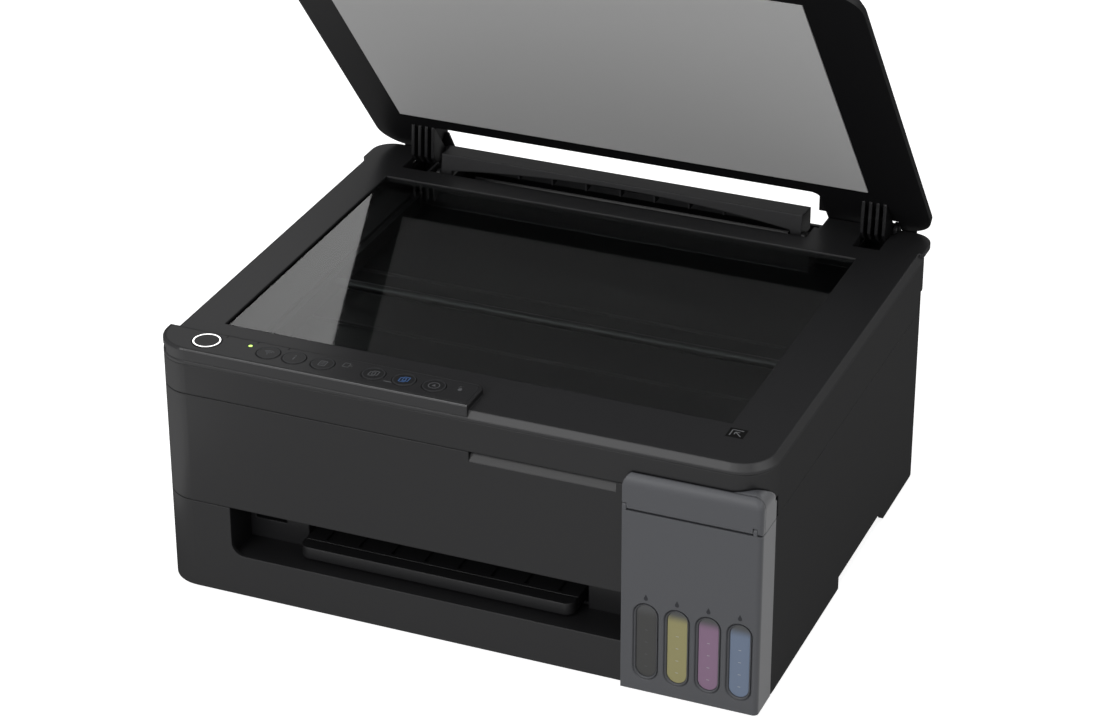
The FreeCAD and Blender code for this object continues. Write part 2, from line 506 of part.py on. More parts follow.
def front_panel():
    """The large front face that wraps the left corner, with the slanted recess for lifting."""
    low, high, above = "apron_top", "front_seam-seam", "front_seam+wall"
    skin = rounded_case(low, high)
    hollow = rounded_case(f"{low}+wall", above, "wall")
    behind = box(("-side_x-over", "side_x+over"), ("return_y", "back_y+over"), ("0", above))
    bay = box(("panel_end", "side_x+over"), ("front_y-over", "return_y+over"), ("0", above))
    shelf = box(("-side_x+side_return+wall/2", "panel_end+over"), ("guide_front", "return_y+over"),
                ("0", f"{low}+wall+over"))
    boss = box(("lift_left-wall-over", "panel_end"), ("front_y+over", "front_y+lift_depth+wall"),
               ("front_seam-lift_height-lift_boss", high))
    floor, ahead, deep = "front_seam-lift_height", "front_y-over", "front_y+lift_depth"
    slant = [(ahead, floor), ("front_y", floor), (deep, "front_seam"), (deep, "front_seam+over"),
             (ahead, "front_seam+over")]
    scoop = prism("x", slant, "lift_left", "lift_right")
    shell = cut(skin, hollow, behind, bay, shelf)
    return node("front_panel", cut(fuse(shell, boss), scoop))


def rear_cover():
    """The tail behind the rear wall: it hides the slope that the paper comes down."""
    brow, ledge, lip = "tail_top-tail_slope", "front_seam+over", "feed_y+tail_lip"
    start = "guard_axis_y-guard_ear"
    outer = [("back_y", "tail_low"), ("tail_y-tail_toe", "tail_low"), ("tail_y", "tail_low+tail_foot"),
             ("tail_y", brow), (lip, "tail_top"), (start, "tail_top"), (start, ledge), ("back_y", ledge)]
    inside, above = "back_y-corner_rear", "tail_top+over"
    inner = [(inside, "tail_low+tail_wall"), ("tail_y-tail_toe-over", "tail_low+tail_wall"),
             ("tail_y-tail_wall", "tail_low+tail_foot+over"), ("tail_y-tail_wall", f"{brow}-bite"),
             (f"{lip}-tail_wall-clearance", above), (inside, above)]
    shell = prism("x", outer, "tail_left", "tail_right")
    room = prism("x", inner, "tail_left+tail_wall", "tail_right-tail_wall")
    ears = [guard_ear(x) for x in ("tail_left", "tail_right-tail_wall")]
    return node("rear_cover", fuse(cut(shell, room), *ears))


def guard_ear(x):
    """A post at one end of the paper slot, bored for the guard's pin."""
    y, z, r = "guard_axis_y", "guard_axis_z", "guard_ear"
    post = box((x, f"{x}+tail_wall"), (f"{y}-{r}", f"{y}+guard_post"), (f"tail_top-{r}", z))
    crown = rod("x", (y, z), r, x, f"{x}+tail_wall")
    hole = rod("x", (y, z), "guard_pin+pin_play", f"{x}-over", f"{x}+tail_wall+over")
    return cut(fuse(post, crown), hole)


def case_screws():
    """Round screw heads in the floor."""
    heads = [rod("z", (x, y), "screw_radius", "foot_height", "floor_low")
             for x in ("-side_x+screw_side", "tank_left-screw_tank")
             for y in ("front_y+screw_front", "back_y-screw_rear")]
    return node("case_screws", group(*heads))


# The ink tank unit


def window_centre(index):
    """X of a sight window's middle."""
    return f"window_first+{index}*window_pitch"


def stadium(index, grow, ys):
    """An upright slot with round ends, as a solid."""
    x, radius = window_centre(index), f"window_width/2+({grow})"
    low, high = "window_low+window_width/2", "window_low+window_height-window_width/2"
    flat = box((f"{x}-({radius})", f"{x}+({radius})"), ys, (low, high))
    return fuse(flat, rod("y", (x, low), radius, *ys), rod("y", (x, high), radius, *ys))


def tank_block(low, high):
    """The tank unit's outline, proud of the front, with a soft outer corner."""
    plain = box(("tank_left", "side_x"), ("tank_y", "tank_seam_y"), (low, high))
    return ease(plain, "wall", "z", {"x": "side_x", "y": "tank_y"})


def tank_housing():
    """The grey front cover with four bevelled sight windows and two ears for its flap."""
    room = box(("tank_left+wall", "side_x-wall"), ("tank_y+wall", "tank_seam_y+over"),
               ("foot_height+wall", "side_seam+over"))
    slots = [stadium(index, "0", ("tank_y-over", "tank_y+wall+over")) for index in range(4)]
    plain = cut(tank_block("foot_height", "side_seam-seam"), room, *slots)
    plain.recompute(True)
    rims = [number for number, edge in enumerate(plain.Shape.Edges, 1) if on_window_rim(edge)]
    bevel = trim("Part::Chamfer", plain, rims, "window_bevel", "window_bevel")
    return node("tank_housing", fuse(bevel, *[cap_ear(x) for x in cap_ears()]))


def cap_ears():
    """Where the two ears of the tank's flap begin."""
    return "tank_left", "side_x-wall-cap_ear"


def cap_ear(x):
    """One small ear in the seam, bored for the flap's pin."""
    radius = "cap_thick/2-cap_play/2"
    ends = (x, f"{x}+cap_ear")
    crown = rod("x", ("cap_y", "cap_z"), radius, *ends)
    post = box(ends, (f"cap_y-({radius})", f"cap_y+({radius})"), ("side_seam-wall-over", "cap_z"))
    bore = rod("x", ("cap_y", "cap_z"), "cap_pin+pin_play", f"{x}-over", f"{x}+cap_ear+over")
    return cut(fuse(crown, post), bore)


def on_window_rim(edge):
    """Whether an edge runs round the front of a sight window."""
    limits = edge.BoundBox
    flat = near(limits.YMax, val("tank_y")) and near(limits.YMin, val("tank_y"))
    inside = limits.XMin > val("tank_left+over") and limits.XMax < val("side_x-over")
    tall = limits.ZMin > val("window_low-over") and limits.ZMax < val("window_low+window_height+over")
    return flat and inside and tall


def ink_tank(index):
    """A slim hollow tank whose front rib fills its window, with a filler neck on top."""
    x, skin = window_centre(index), "tank_skin"
    left, right = f"{x}-tank_wide/2", f"{x}+tank_wide/2"
    front, back = "tank_y+wall+clearance", "tank_rear"
    face, top = "tank_y+window_bevel+seam", "tank_high+neck_rise"
    neck_place = (x, "tank_y+neck_back")
    shell = box((left, right), (front, back), ("tank_low", "tank_high"))
    sight = stadium(index, "-clearance", (face, "tank_y+wall+over"))
    neck = rod("z", neck_place, "neck_radius", "tank_high-over", top)
    outlet = rod("y", (x, "2*tank_low"), "outlet_radius", f"{back}-over", f"{back}+outlet_length")
    room = box((f"{left}+{skin}", f"{right}-{skin}"), (f"{front}+{skin}", f"{back}-{skin}"),
               (f"tank_low+{skin}", f"tank_high-{skin}"))
    view = stadium(index, f"-clearance-{skin}", (f"{face}+{skin}", f"{front}+{skin}+over"))
    bore = rod("z", neck_place, f"neck_radius-{skin}", f"tank_high-{skin}-over", f"{top}+over")
    return cut(fuse(shell, sight, neck, outlet), room, view, bore)


def ink_tanks():
    """Four equal tanks, one for each colour."""
    return node("ink_tanks", group(*[ink_tank(index) for index in range(4)]))


def filler_stoppers():
    """A plug with a finger tab on each filler neck."""
    plugs = []
    y, top = "tank_y+neck_back", "tank_high+neck_rise"
    for index in range(4):
        x = window_centre(index)
        cap = rod("z", (x, y), "neck_radius+plug_rim", top, f"{top}+plug_thick")
        tab = box((f"{x}-wall", f"{x}+wall"), (y, f"{y}+plug_tab"), (top, f"{top}+plug_thick/2"))
        plugs.append(fuse(cap, tab))
    return node("filler_stoppers", group(*plugs))


def cap_block():
    """The cap above the tank's seam, with round top corners."""
    block = tank_block("side_seam", "cap_top")
    return ease(block, "cap_corner", "y", {"x": "tank_left", "z": "cap_top"},
                {"x": "side_x", "z": "cap_top"})


def tank_flap():
    """The front of the cap: a plate before the scanner that flips forward on its lower edge."""
    ends, ahead = ("tank_left-over", "side_x+over"), "tank_y-over"
    behind = box(ends, ("tank_y+cap_thick", "tank_seam_y+over"), ("0", "cap_top+over"))
    below = box(ends, (ahead, "tank_seam_y+over"), ("0", "cap_z"))
    edge = overlap(rod("x", ("cap_y", "cap_z"), "cap_thick/2", "tank_left", "side_x"),
                   tank_block("side_seam", "cap_top"))
    notches = [box((f"{x}-cap_play", f"{x}+cap_ear+cap_play"), (ahead, "tank_y+cap_thick+over"),
                   ("0", "cap_z+cap_thick/2+clearance")) for x in cap_ears()]
    left, right = cap_ears()
    pins = [rod("x", ("cap_y", "cap_z"), "cap_pin", left, f"{left}+cap_ear+2*over"),
            rod("x", ("cap_y", "cap_z"), "cap_pin", f"{right}-2*over", f"{right}+cap_ear+2*over")]
    plate = cut(fuse(cut(cap_block(), behind, below), edge), *notches)
    return node("tank_flap", fuse(plate, *pins))


def tank_shoulder():
    """The rest of the cap: it fills the corner outside the scanner's round outline."""
    shelf, ends = "front_seam-wall/2", ("tank_left-over", "side_x+over")
    right, front = "side_x+cap_gap", "front_y-cap_gap"
    ahead = box(ends, ("tank_y-over", "tank_y+cap_thick+clearance"), ("0", "cap_top+over"))
    outline = box(("tank_left-corner_front", right), (front, "tank_seam_y+corner_front"),
                  (shelf, "cap_top+over"))
    outline = ease(outline, "corner_front+cap_gap", "z", {"x": right, "y": front})
    room = box(("tank_left-over", "side_x-wall"), ("tank_y-over", "tank_seam_y+over"), ("0", shelf))
    tongue = box(("side_x-wall-tongue_thick", "side_x-wall"), ("tank_y+2*wall", "tank_seam_y"),
                 ("side_seam-tongue_drop", "front_seam-wall-over"))
    return node("tank_shoulder", fuse(cut(cap_block(), ahead, outline, room), tongue))


# Paper exit


def exit_guide():
    """Guide blocks beside the exit, with a long slot in the left one, and runners for the tray."""
    start, ys, zs = "exit_left+hairline", ("guide_front", "guide_rear"), ("lip_top", "apron_top-seam")
    ahead, heights = "guide_front-over", ("lip_top+slot_low", "lip_top+slot_high")
    left = box((start, "tray_left-seam"), ys, zs)
    slot = box(("exit_left+slot_start", "exit_left+slot_start+slot_length"),
               (ahead, "guide_front+slot_deep"), heights)
    right = box(("tray_right+slot_start", "panel_end-seam"), ys, zs)
    notch = box(("panel_end-notch_far", "panel_end-slot_start"), (ahead, "guide_front+notch_far"),
                ("lip_top+slot_low-over", "lip_top+slot_high+over"))
    under = "tray_low-clearance"
    shelf = box((start, "frame_right_x-seam"), ("return_y+hairline", "tray_rear"), ("lip_top-wall", under))
    legs = [box((x, f"{x}+leg_wide"), ("tray_rear-leg_back", "tray_rear-leg_wide"),
                ("floor_top", "lip_top-over"))
            for x in ("tray_left+leg_inset", "tray_right-leg_back-bite")]
    runner = box(("tray_middle-runner_half", "tray_middle+runner_half"),
                 ("guide_front-runner_lead", "return_y+over"), ("lip_top", under))
    return node("exit_guide", fuse(cut(left, slot), cut(right, notch), shelf, runner, *legs))


def output_tray():
    """The board that the paper comes out onto, with a pocket for its extension."""
    front, top = "tray_front+pull_depth+seam", "tray_low+tray_thick"
    board = box(("tray_left", "tray_right"), (front, "tray_rear"), ("tray_low", top))
    pocket = box(("tray_middle-leaf_width/2-seam", "tray_middle+leaf_width/2+seam"),
                 (f"{front}-over", "tray_front+leaf_length+wall+over"),
                 ("leaf_low-seam", "leaf_low+leaf_thick+seam"))
    grooves = []
    for step in range(8):
        start = f"tray_left+groove_inset+{step}*groove_pitch"
        grooves.append(box((start, f"{start}+groove_wide"), (f"{front}+wall", "tray_rear-2*wall"),
                           (f"{top}-over", f"{top}+over")))
    return node("output_tray", cut(board, pocket, *grooves))


def tray_extension():
    """The tray's front bar, which draws out on a leaf."""
    plain = box(("tray_left", "tray_right"), ("tray_front", "tray_front+pull_depth"),
                ("tray_low", "tray_low+tray_thick"))
    bar = ease(plain, "tray_corner", "z", {"x": "tray_left", "y": "tray_front"},
               {"x": "tray_right", "y": "tray_front"})
    leaf = box(("tray_middle-leaf_width/2", "tray_middle+leaf_width/2"),
               ("tray_front+pull_depth-over", "tray_front+leaf_length"), ("leaf_low", "leaf_low+leaf_thick"))
    return node("tray_extension", fuse(bar, leaf))


# Rear feeder


def rear_hopper():
    """The sloped plate that the sheets lean on, with a foot on the floor."""
    plate = slope_plate(("tail_left+tail_wall+seam", "tail_right-tail_wall-seam"), "-hopper_thick", "0",
                        "-hopper_length", "-hopper_thick")
    y, z = tilted("0", "-hopper_length")
    foot = box(("sheet_middle-hopper_foot/2", "sheet_middle+hopper_foot/2"),
               (f"{y}-hopper_thick", f"{y}+3*hopper_thick"), ("floor_top", f"{z}+hopper_thick"))
    return node("rear_hopper", fuse(plate, foot))


def paper_support():
    """The plate that draws up behind the sheets, with a grip rib along its top."""
    back = "-hopper_thick-clearance"
    plate = slope_plate(("sheet_left+over", "sheet_right-over"), f"{back}-support_thick", back,
                        "-support_length", "0")
    hold = slope_plate(("sheet_middle-hold_wide/2", "sheet_middle+hold_wide/2"),
                       f"{back}-support_thick-2*over", back, "-hold_tall", "0")
    return node("paper_support", fuse(plate, hold))


def edge_guide(label, x):
    """An upright guide that runs across the hopper to the sheet's edge, with its shoe."""
    reach = ("-edge_drop-edge_length", "-edge_drop")
    fin = slope_plate((x, f"{x}+edge_thick"), "clearance", "edge_rise", *reach)
    shoe = slope_plate((f"{x}-shoe_wide", f"{x}+edge_thick+shoe_wide"), "clearance",
                       "clearance+shoe_thick", *reach)
    return node(label, fuse(fin, shoe))


def feeder_guard():
    """The ridge over the paper slot: a hollow bar, ribbed inside, that flips forward."""
    y, z, wall = "guard_axis_y", "guard_axis_z", "guard_wall"
    left, right = "tail_left+tail_wall+seam", "tail_right-tail_wall-seam"
    front, brow, low, fall = f"{y}-{wall}", f"{y}-{wall}+guard_lean", f"{z}-{wall}", "guard_top-guard_fall"
    outer = [(front, low), (brow, "guard_top"), ("guard_rear", fall), ("guard_rear", low)]
    inner = [(f"{front}+{wall}", f"{low}-over"), (f"{brow}+{wall}", f"guard_top-{wall}"),
             (f"guard_rear-{wall}", f"{fall}-{wall}"), (f"guard_rear-{wall}", f"{low}-over")]
    room = prism("x", inner, f"{left}+{wall}", f"{right}-{wall}")
    shell = cut(prism("x", outer, left, right), room, guard_arch())
    ceiling, back = f"guard_top-{wall}", "guard_rear-rib_back"
    beam = box((f"{left}+over", f"{right}-over"), (f"{y}+{wall}", back), (f"{ceiling}-over", ceiling))
    ribs = []
    for step in range(-4, 5):
        middle = f"(tail_left+tail_right)/2+({step})*rib_pitch"
        ribs.append(box((f"{middle}-rib_thick/2", f"{middle}+rib_thick/2"), (f"{y}+{wall}+bite", back),
                        ("bed_top", f"{ceiling}-bite")))
    pins = [rod("x", (y, z), "guard_pin", f"{left}-seam-tail_wall", f"{left}+over"),
            rod("x", (y, z), "guard_pin", f"{right}-over", f"{right}+seam+tail_wall")]
    return node("feeder_guard", fuse(shell, beam, *ribs, *pins))


def guard_arch():
    """The long low arch that opens the front of the guard between its ends."""
    middle, chord = "(tail_left+tail_right)/2", "((tail_right-tail_left)/2-arch_end)"
    sweep = f"({chord}*{chord}+guard_arch*guard_arch)/(2*guard_arch)"
    ys = ("guard_axis_y-2*guard_wall", "guard_axis_y+guard_wall")
    crown = rod("y", (middle, f"bed_top-bite+guard_arch-{sweep}"), sweep, *ys)
    span = box((f"{middle}-{chord}", f"{middle}+{chord}"), ys, ("guard_axis_z-guard_wall-over", "guard_top"))
    return overlap(crown, span)


# Print works


def side_frame(x):
    """An upright plate that carries the rollers and the rail."""
    step = "feed_roller_y-frame_step"
    heel, crest = tilted("heel_gap", "-hopper_length"), tilted("heel_gap", "-hopper_length+heel_reach")
    profile = [("frame_front", "floor_top"), (heel[0], "floor_top"), heel, crest,
               ("pickup_y-rise_top", crest[1]), ("pickup_y-rise_foot", "rail_low"),
               (step, "rail_low"), (step, "frame_low"), ("frame_front", "frame_low")]
    plate = prism("x", profile, x, f"{x}+frame_thick")
    ends = (f"{x}-over", f"{x}+frame_thick+over")
    bores = [rod("x", spot, "shaft_radius+shaft_play", *ends) for spot in roller_axes()]
    light = box(ends, ("feed_roller_y+light_gap", "pickup_y-light_end"), ("light_low", "light_high"))
    return cut(plate, light, *bores)


def side_frames():
    """Both frames; the left one carries the idler's stud and lets the motor's shaft through."""
    passage = rod("x", ("pinion_y", "pinion_z"), "motor_shaft+shaft_play", "frame_left_x-over",
                  "frame_left_x+frame_thick+over")
    stud = rod("x", ("idler_y", "idler_z"), "shaft_radius", "gear_low-bite", "frame_left_x+over")
    left = fuse(cut(side_frame("frame_left_x"), passage), stud)
    return node("side_frames", group(left, side_frame("frame_right_x")))


def roller_axes():
    """Y and Z of the feed, eject and pickup shafts."""
    return (("feed_roller_y", "feed_roller_z"), ("eject_y", "eject_z"), ("pickup_y", "pickup_z"))


def shaft(axis_place, left_end):
    """A roller shaft that runs through both side frames."""
    return rod("x", axis_place, "shaft_radius", left_end, "frame_right_x+frame_thick+shaft_end")


def feed_roller():
    """The long grit roller that moves the sheet under the head, with its gear."""
    place = roller_axes()[0]
    barrel = rod("x", place, "feed_roller_radius", "frame_left_x+frame_thick+barrel_gap",
                 "frame_right_x-barrel_gap")
    wheel = gear("feed_teeth", place, math.radians(val("train_aim")))
    return node("feed_roller", fuse(barrel, shaft(place, "gear_low"), wheel))


def eject_roller():
    """A shaft with a row of rubber rings, and its gear."""
    place = roller_axes()[1]
    starts = [f"sheet_left+ring_inset+{step}*ring_pitch" for step in range(7)]
    rings = [rod("x", place, "eject_radius", start, f"{start}+ring_wide") for start in starts]
    onward = math.atan2(val("eject_z-idler_z"), val("eject_y-idler_y"))
    wheel = gear("eject_teeth", place, mesh_phase("idler_teeth", idler_phase(), onward, "eject_teeth"))
    return node("eject_roller", fuse(shaft(place, "gear_low"), wheel, *rings))


def pickup_roller():
    """The D-shaped tyre that pulls one sheet from the stack."""
    place = roller_axes()[2]
    left, right, r = "sheet_middle-pickup_wide/2", "sheet_middle+pickup_wide/2", "pickup_radius"
    tyre = rod("x", place, r, left, right)
    flat = box((f"{left}-over", f"{right}+over"), (f"pickup_y-{r}-over", "pickup_y-pickup_flat"),
               (f"pickup_z-{r}", f"pickup_z+{r}"))
    return node("pickup_roller", fuse(cut(tyre, flat), shaft(place, "frame_left_x-shaft_end")))


# The standard tooth form, with a slightly short tip; heights are in modules
PRESSURE_ANGLE = math.radians(20)
ADDENDUM = 0.85
DEDENDUM = 1.2


def involute(teeth, module, backlash):
    """One tooth's outline as angle and radius pairs, from its left root to its right root."""
    pitch = teeth * module / 2
    base = pitch * math.cos(PRESSURE_ANGLE)
    tip, root = pitch + ADDENDUM * module, pitch - DEDENDUM * module
    half = (math.pi * module / 2 - backlash) / (2 * pitch)
    spread = math.tan(PRESSURE_ANGLE) - PRESSURE_ANGLE
    low = max(base, root)
    flank = []
    for share in (0.0, 0.5, 1.0):
        radius = low + (tip - low) * share
        roll = math.acos(base / radius)
        flank.append((half + spread - (math.tan(roll) - roll), radius))
    left = [(-angle, radius) for angle, radius in flank]
    return [(left[0][0], root)] + left + flank[::-1] + [(flank[0][0], root)]


def gear(teeth, place, phase, bore=None):
    """A spur gear beside the left frame, with a tooth at the phase angle."""
    count = round(val(teeth))
    y, z = (val(text) for text in place)
    low, wide = val("gear_low"), val("gear_width")
    outline = []
    for tooth in range(count):
        turn = phase + 2 * math.pi * tooth / count
        for angle, radius in involute(count, val("gear_module"), val("gear_backlash")):
            outline.append(FreeCAD.Vector(low, y + radius * math.cos(turn + angle),
                                          z + radius * math.sin(turn + angle)))
    face = Part.Face(Part.makePolygon(outline + outline[:1]))
    item = doc.addObject("Part::Feature", "gear")
    item.Shape = face.extrude(FreeCAD.Vector(wide, 0, 0))
    if bore is None:
        return item
    return cut(item, rod("x", place, bore, "gear_low-over", "gear_low+gear_width+over"))


def idler_phase():
    """The angle of an idler tooth, with a gap towards the feed gear's tooth."""
    return math.radians(val("train_aim")) + math.pi + math.pi / val("idler_teeth")


def mesh_phase(teeth, phase, direction, next_teeth):
    """The phase that puts a gap of the next gear over the tooth that comes nearest to it."""
    step = 2 * math.pi / val(teeth)
    offset = (direction - phase + step / 2) % step - step / 2
    share = val(teeth) / val(next_teeth)
    return direction + math.pi + offset * share + math.pi / val(next_teeth)


def idler_gear():
    """The wheel between the feed and eject gears."""
    place = ("idler_y", "idler_z")
    return node("idler_gear", gear("idler_teeth", place, idler_phase(), "shaft_radius+shaft_play"))


def motor_pinion():
    """The small gear on the feed motor's shaft."""
    place = ("pinion_y", "pinion_z")
    phase = mesh_phase("feed_teeth", math.radians(val("train_aim")), math.radians(val("pinion_lean")),
                       "pinion_teeth")
    wheel = gear("pinion_teeth", place, phase)
    spindle = rod("x", place, "motor_shaft", "gear_low", "frame_left_x+frame_thick")
    return node("motor_pinion", fuse(wheel, spindle))


def drive_motors():
    """The feed motor on the left frame and the carriage motor behind the rail."""
    inside, behind = "frame_left_x+frame_thick", "rail_y+rail_sheet"
    feed = rod("x", ("pinion_y", "pinion_z"), "motor_radius", inside, f"{inside}+motor_length")
    carriage = rod("y", ("-belt_half", "belt_z"), "motor_radius", behind, f"{behind}+motor_length")
    return node("drive_motors", group(feed, carriage))


def platen():
    """The ribbed bar that the sheet runs over."""
    top = "platen_top-platen_rib"
    slab = box(("frame_left_x+frame_thick", "frame_right_x"), ("platen_front", "platen_rear"),
               (f"{top}-platen_thick", top))
    ribs = []
    for step in range(13):
        start = f"sheet_left+platen_rib+{step}*platen_pitch"
        ribs.append(box((start, f"{start}+platen_rib_wide"), ("platen_front+2*over", "platen_rear-2*over"),
                        (f"{top}-bite", "platen_top")))
    return node("platen", fuse(slab, *ribs))


def carriage_rail():
    """A folded steel channel across the frames."""
    xs, back = ("-rail_half", "rail_half"), "rail_y+rail_sheet"
    web = box(xs, ("rail_y", back), ("rail_low", "rail_high"))
    foot = box(xs, ("rail_y-rail_foot", back), ("rail_low", "rail_low+rail_sheet"))
    brow = box(xs, ("rail_y-rail_brow", back), ("rail_high-rail_sheet", "rail_high"))
    hole = rod("y", ("-belt_half", "belt_z"), "motor_shaft+shaft_play", "rail_y-over", f"{back}+over")
    pin = rod("y", ("belt_half", "belt_z"), "motor_shaft", "rail_y-rail_brow+over", "rail_y+over")
    posts = [box((f"{x}-post_half", f"{x}+post_half"), ("rail_y-post_inset", back),
                 ("floor_top", "rail_low+over"))
             for x in ("-rail_half+post_inset", "rail_half-post_inset")]
    return node("carriage_rail", fuse(cut(web, hole), foot, brow, pin, *posts))


def encoder_strip():
    """The see-through ruled strip that the carriage reads, hung from the rail's brow."""
    strip = box(("-rail_half+ruler_inset", "rail_half-ruler_inset"),
                ("rail_y-ruler_front", "rail_y-ruler_front+ruler_thick"),
                ("strip_z-strip_height", "rail_high-rail_sheet"))
    return node("encoder_strip", strip)


def print_carriage():
    """The box that carries the head, with a foot that rides on the rail."""
    x, skin, nose = "carriage_home", "carriage_skin", "carriage_nose"
    left, right = f"{x}-carriage_wide/2", f"{x}+carriage_wide/2"
    front, rear, top = "carriage_front", "carriage_rear", "carriage_high"
    shell = box((left, right), (front, rear), ("carriage_low", top))
    room = box((f"{left}+{skin}", f"{right}-{skin}"), (f"{front}+{skin}", f"{rear}-{skin}"),
               ("carriage_low+carriage_floor", f"{top}-{skin}"))
    slant = [(f"{front}-over", f"{top}-{nose}"), (f"{front}+{nose}", f"{top}+over"),
             (f"{front}-over", f"{top}+over")]
    wedge = prism("x", slant, f"{left}-over", f"{right}+over")
    foot = box((left, right), (f"{rear}-bite", "rail_y-carriage_foot"),
               ("rail_low+rail_sheet+clearance", f"{top}-over"))
    return node("print_carriage", fuse(cut(shell, room, wedge), foot, belt_clamp(x)))


def belt_clamp(x):
    """The jaw behind the carriage that the belt's lower run passes through."""
    high = "belt_z-pulley_radius-belt_play"
    low, half, wall = f"{high}-belt_thick", "clamp_half", "clamp_wall"
    jaw = box((f"{x}-{half}", f"{x}+{half}"), ("rail_y-carriage_foot-bite", "rail_y-over-bite"),
              (f"{low}-{wall}", f"{high}+{wall}"))
    slot = box((f"{x}-{half}-over", f"{x}+{half}+over"), ("belt_y-belt_wide/2-seam", "rail_y"),
               (f"{low}-clearance", f"{high}+clearance"))
    return cut(jaw, slot)


def print_head():
    """The nozzle block under the carriage."""
    x, half, low = "carriage_home", "head_half", "carriage_low-head_drop"
    front, rear = "carriage_front+head_front", "carriage_rear-head_rear"
    block = box((f"{x}-{half}", f"{x}+{half}"), (front, rear), (f"{low}+over", "carriage_low"))
    plate = box((f"{x}-{half}+plate_inset", f"{x}+{half}-plate_inset"),
                (f"{front}+plate_inset", f"{rear}-plate_inset"), (low, f"{low}+plate_thick"))
    return node("print_head", fuse(block, plate))


def loop(radius, ys):
    """A stadium round both pulleys."""
    flat = box(("-belt_half", "belt_half"), ys, (f"belt_z-({radius})", f"belt_z+({radius})"))
    ends = [rod("y", (x, "belt_z"), radius, *ys) for x in ("-belt_half", "belt_half")]
    return fuse(flat, *ends)


def carriage_belt():
    """The toothed belt as a closed loop round both pulleys."""
    inside = "pulley_radius+belt_play"
    band = loop(f"{inside}+belt_thick", ("belt_y-belt_wide/2", "belt_y+belt_wide/2"))
    return node("carriage_belt", cut(band, loop(inside, ("belt_y-belt_wide", "belt_y+belt_wide"))))


def pulley(x, bore=None):
    """A flanged pulley in the belt's loop."""
    place, front = (x, "belt_z"), "belt_y-belt_wide/2"
    drum = rod("y", place, "pulley_radius", f"{front}-drum_lap", f"{front}+belt_wide+drum_lap")
    flange = rod("y", place, "pulley_radius+pulley_rim", f"{front}-seam-over", f"{front}-seam")
    wheel = fuse(drum, flange)
    if bore is None:
        return wheel
    return cut(wheel, rod("y", place, bore, "rail_y-rail_brow-over", "rail_y+rail_sheet"))


def drive_pulley():
    """The pulley on the carriage motor's shaft."""
    spindle = rod("y", ("-belt_half", "belt_z"), "motor_shaft", "belt_y-over", "rail_y+rail_sheet")
    return node("drive_pulley", fuse(pulley("-belt_half"), spindle))


def idler_pulley():
    """The pulley that turns on the rail's pin at the other end."""
    return node("idler_pulley", pulley("belt_half", "motor_shaft+shaft_play"))


def capping_station():
    """The parking tray that seals and wipes the head at the right."""
    x, wall, nozzles = "carriage_home", "cap_wall", "carriage_low-head_drop"
    left, right = f"{x}-cap_left", f"{x}+cap_right"
    front, rear, floor = "carriage_front+cap_lead", "carriage_rear-cap_tail", "floor_top+cap_floor"
    tub = box((left, right), (front, rear), ("floor_top", f"{nozzles}-cap_drop"))
    room = box((f"{left}+{wall}", f"{right}-{wall}"), (f"{front}+{wall}", f"{rear}-{wall}"),
               (floor, "carriage_low"))
    pad = box((f"{x}-pad_half", f"{x}+pad_half"), ("carriage_front+pad_lead", "carriage_rear-pad_tail"),
              (f"{floor}-over", f"{nozzles}-seam"))
    wiper = box((f"{left}+over", f"{left}+over+wiper_thick"),
                ("carriage_front+pad_lead-over", "carriage_rear-pad_tail+over"),
                (floor, f"{nozzles}-seam-hairline"))
    return node("capping_station", fuse(cut(tub, room), pad, wiper))


def waste_ink_pad():
    """The felt block that takes up spilt ink."""
    felt = box(("tank_left+waste_side", "side_x-waste_end"), ("rail_y+2*rail_sheet", "back_y-waste_rear"),
               ("floor_top", "floor_top+waste_tall"))
    return node("waste_ink_pad", felt)


# Each chip's place on the board, as shares of the free length and height
CHIP_PLACES = ((0.16, 0.46), (0.43, 0.63), (0.7, 0.4))


def main_board():
    """The control board on edge beside the left wall, with its chips and connectors."""
    left, front, rear = "-side_x+board_side", "front_y+board_lead", "back_y-board_rear"
    face, low, top = f"{left}+board_thick", "floor_top", "side_seam-board_drop"
    board = box((left, face), (front, rear), (low, top))
    chips = []
    for along, up in CHIP_PLACES:
        y = f"{front}+{along}*({rear}-({front})-chip_size)"
        z = f"{low}+{up}*({top}-{low}-chip_size)"
        chips.append(box((f"{face}-hairline", f"{face}-hairline+chip_thick"), (y, f"{y}+chip_size"),
                         (z, f"{z}+chip_size")))
    return node("main_board", fuse(board, *chips))


def power_supply():
    """The closed supply box in the rear left corner."""
    left = "-side_x+supply_side"
    case = box((left, f"{left}+supply_wide"), ("back_y-supply_lead", "back_y-wall-inlet_deep"),
               ("floor_top", "supply_top"))
    return node("power_supply", case)


def power_inlet():
    """A two-pin appliance inlet in the rear wall."""
    rear, floor = "back_y-socket_sink", "back_y-inlet_deep"
    body = box(("inlet_left+clearance", "inlet_right-clearance"), (f"{floor}-wall", rear),
               ("inlet_low+clearance", "inlet_high-clearance"))
    xs = ("inlet_left+inlet_rim", "inlet_right-inlet_rim")
    zs = ("inlet_low+inlet_lip", "inlet_high-inlet_lip")
    bay = ease(box(xs, (floor, "back_y+over"), zs), "inlet_round", "y",
               *[{"x": x, "z": z} for x in xs for z in zs])
    middle, height = "(inlet_left+inlet_right)/2", "(inlet_low+inlet_high)/2"
    pins = [rod("y", (f"{middle}+({side})*pin_spread", height), "inlet_pin", f"{floor}-bite", "back_y-2*over")
            for side in (-1, 1)]
    return node("power_inlet", fuse(cut(body, bay), *pins))


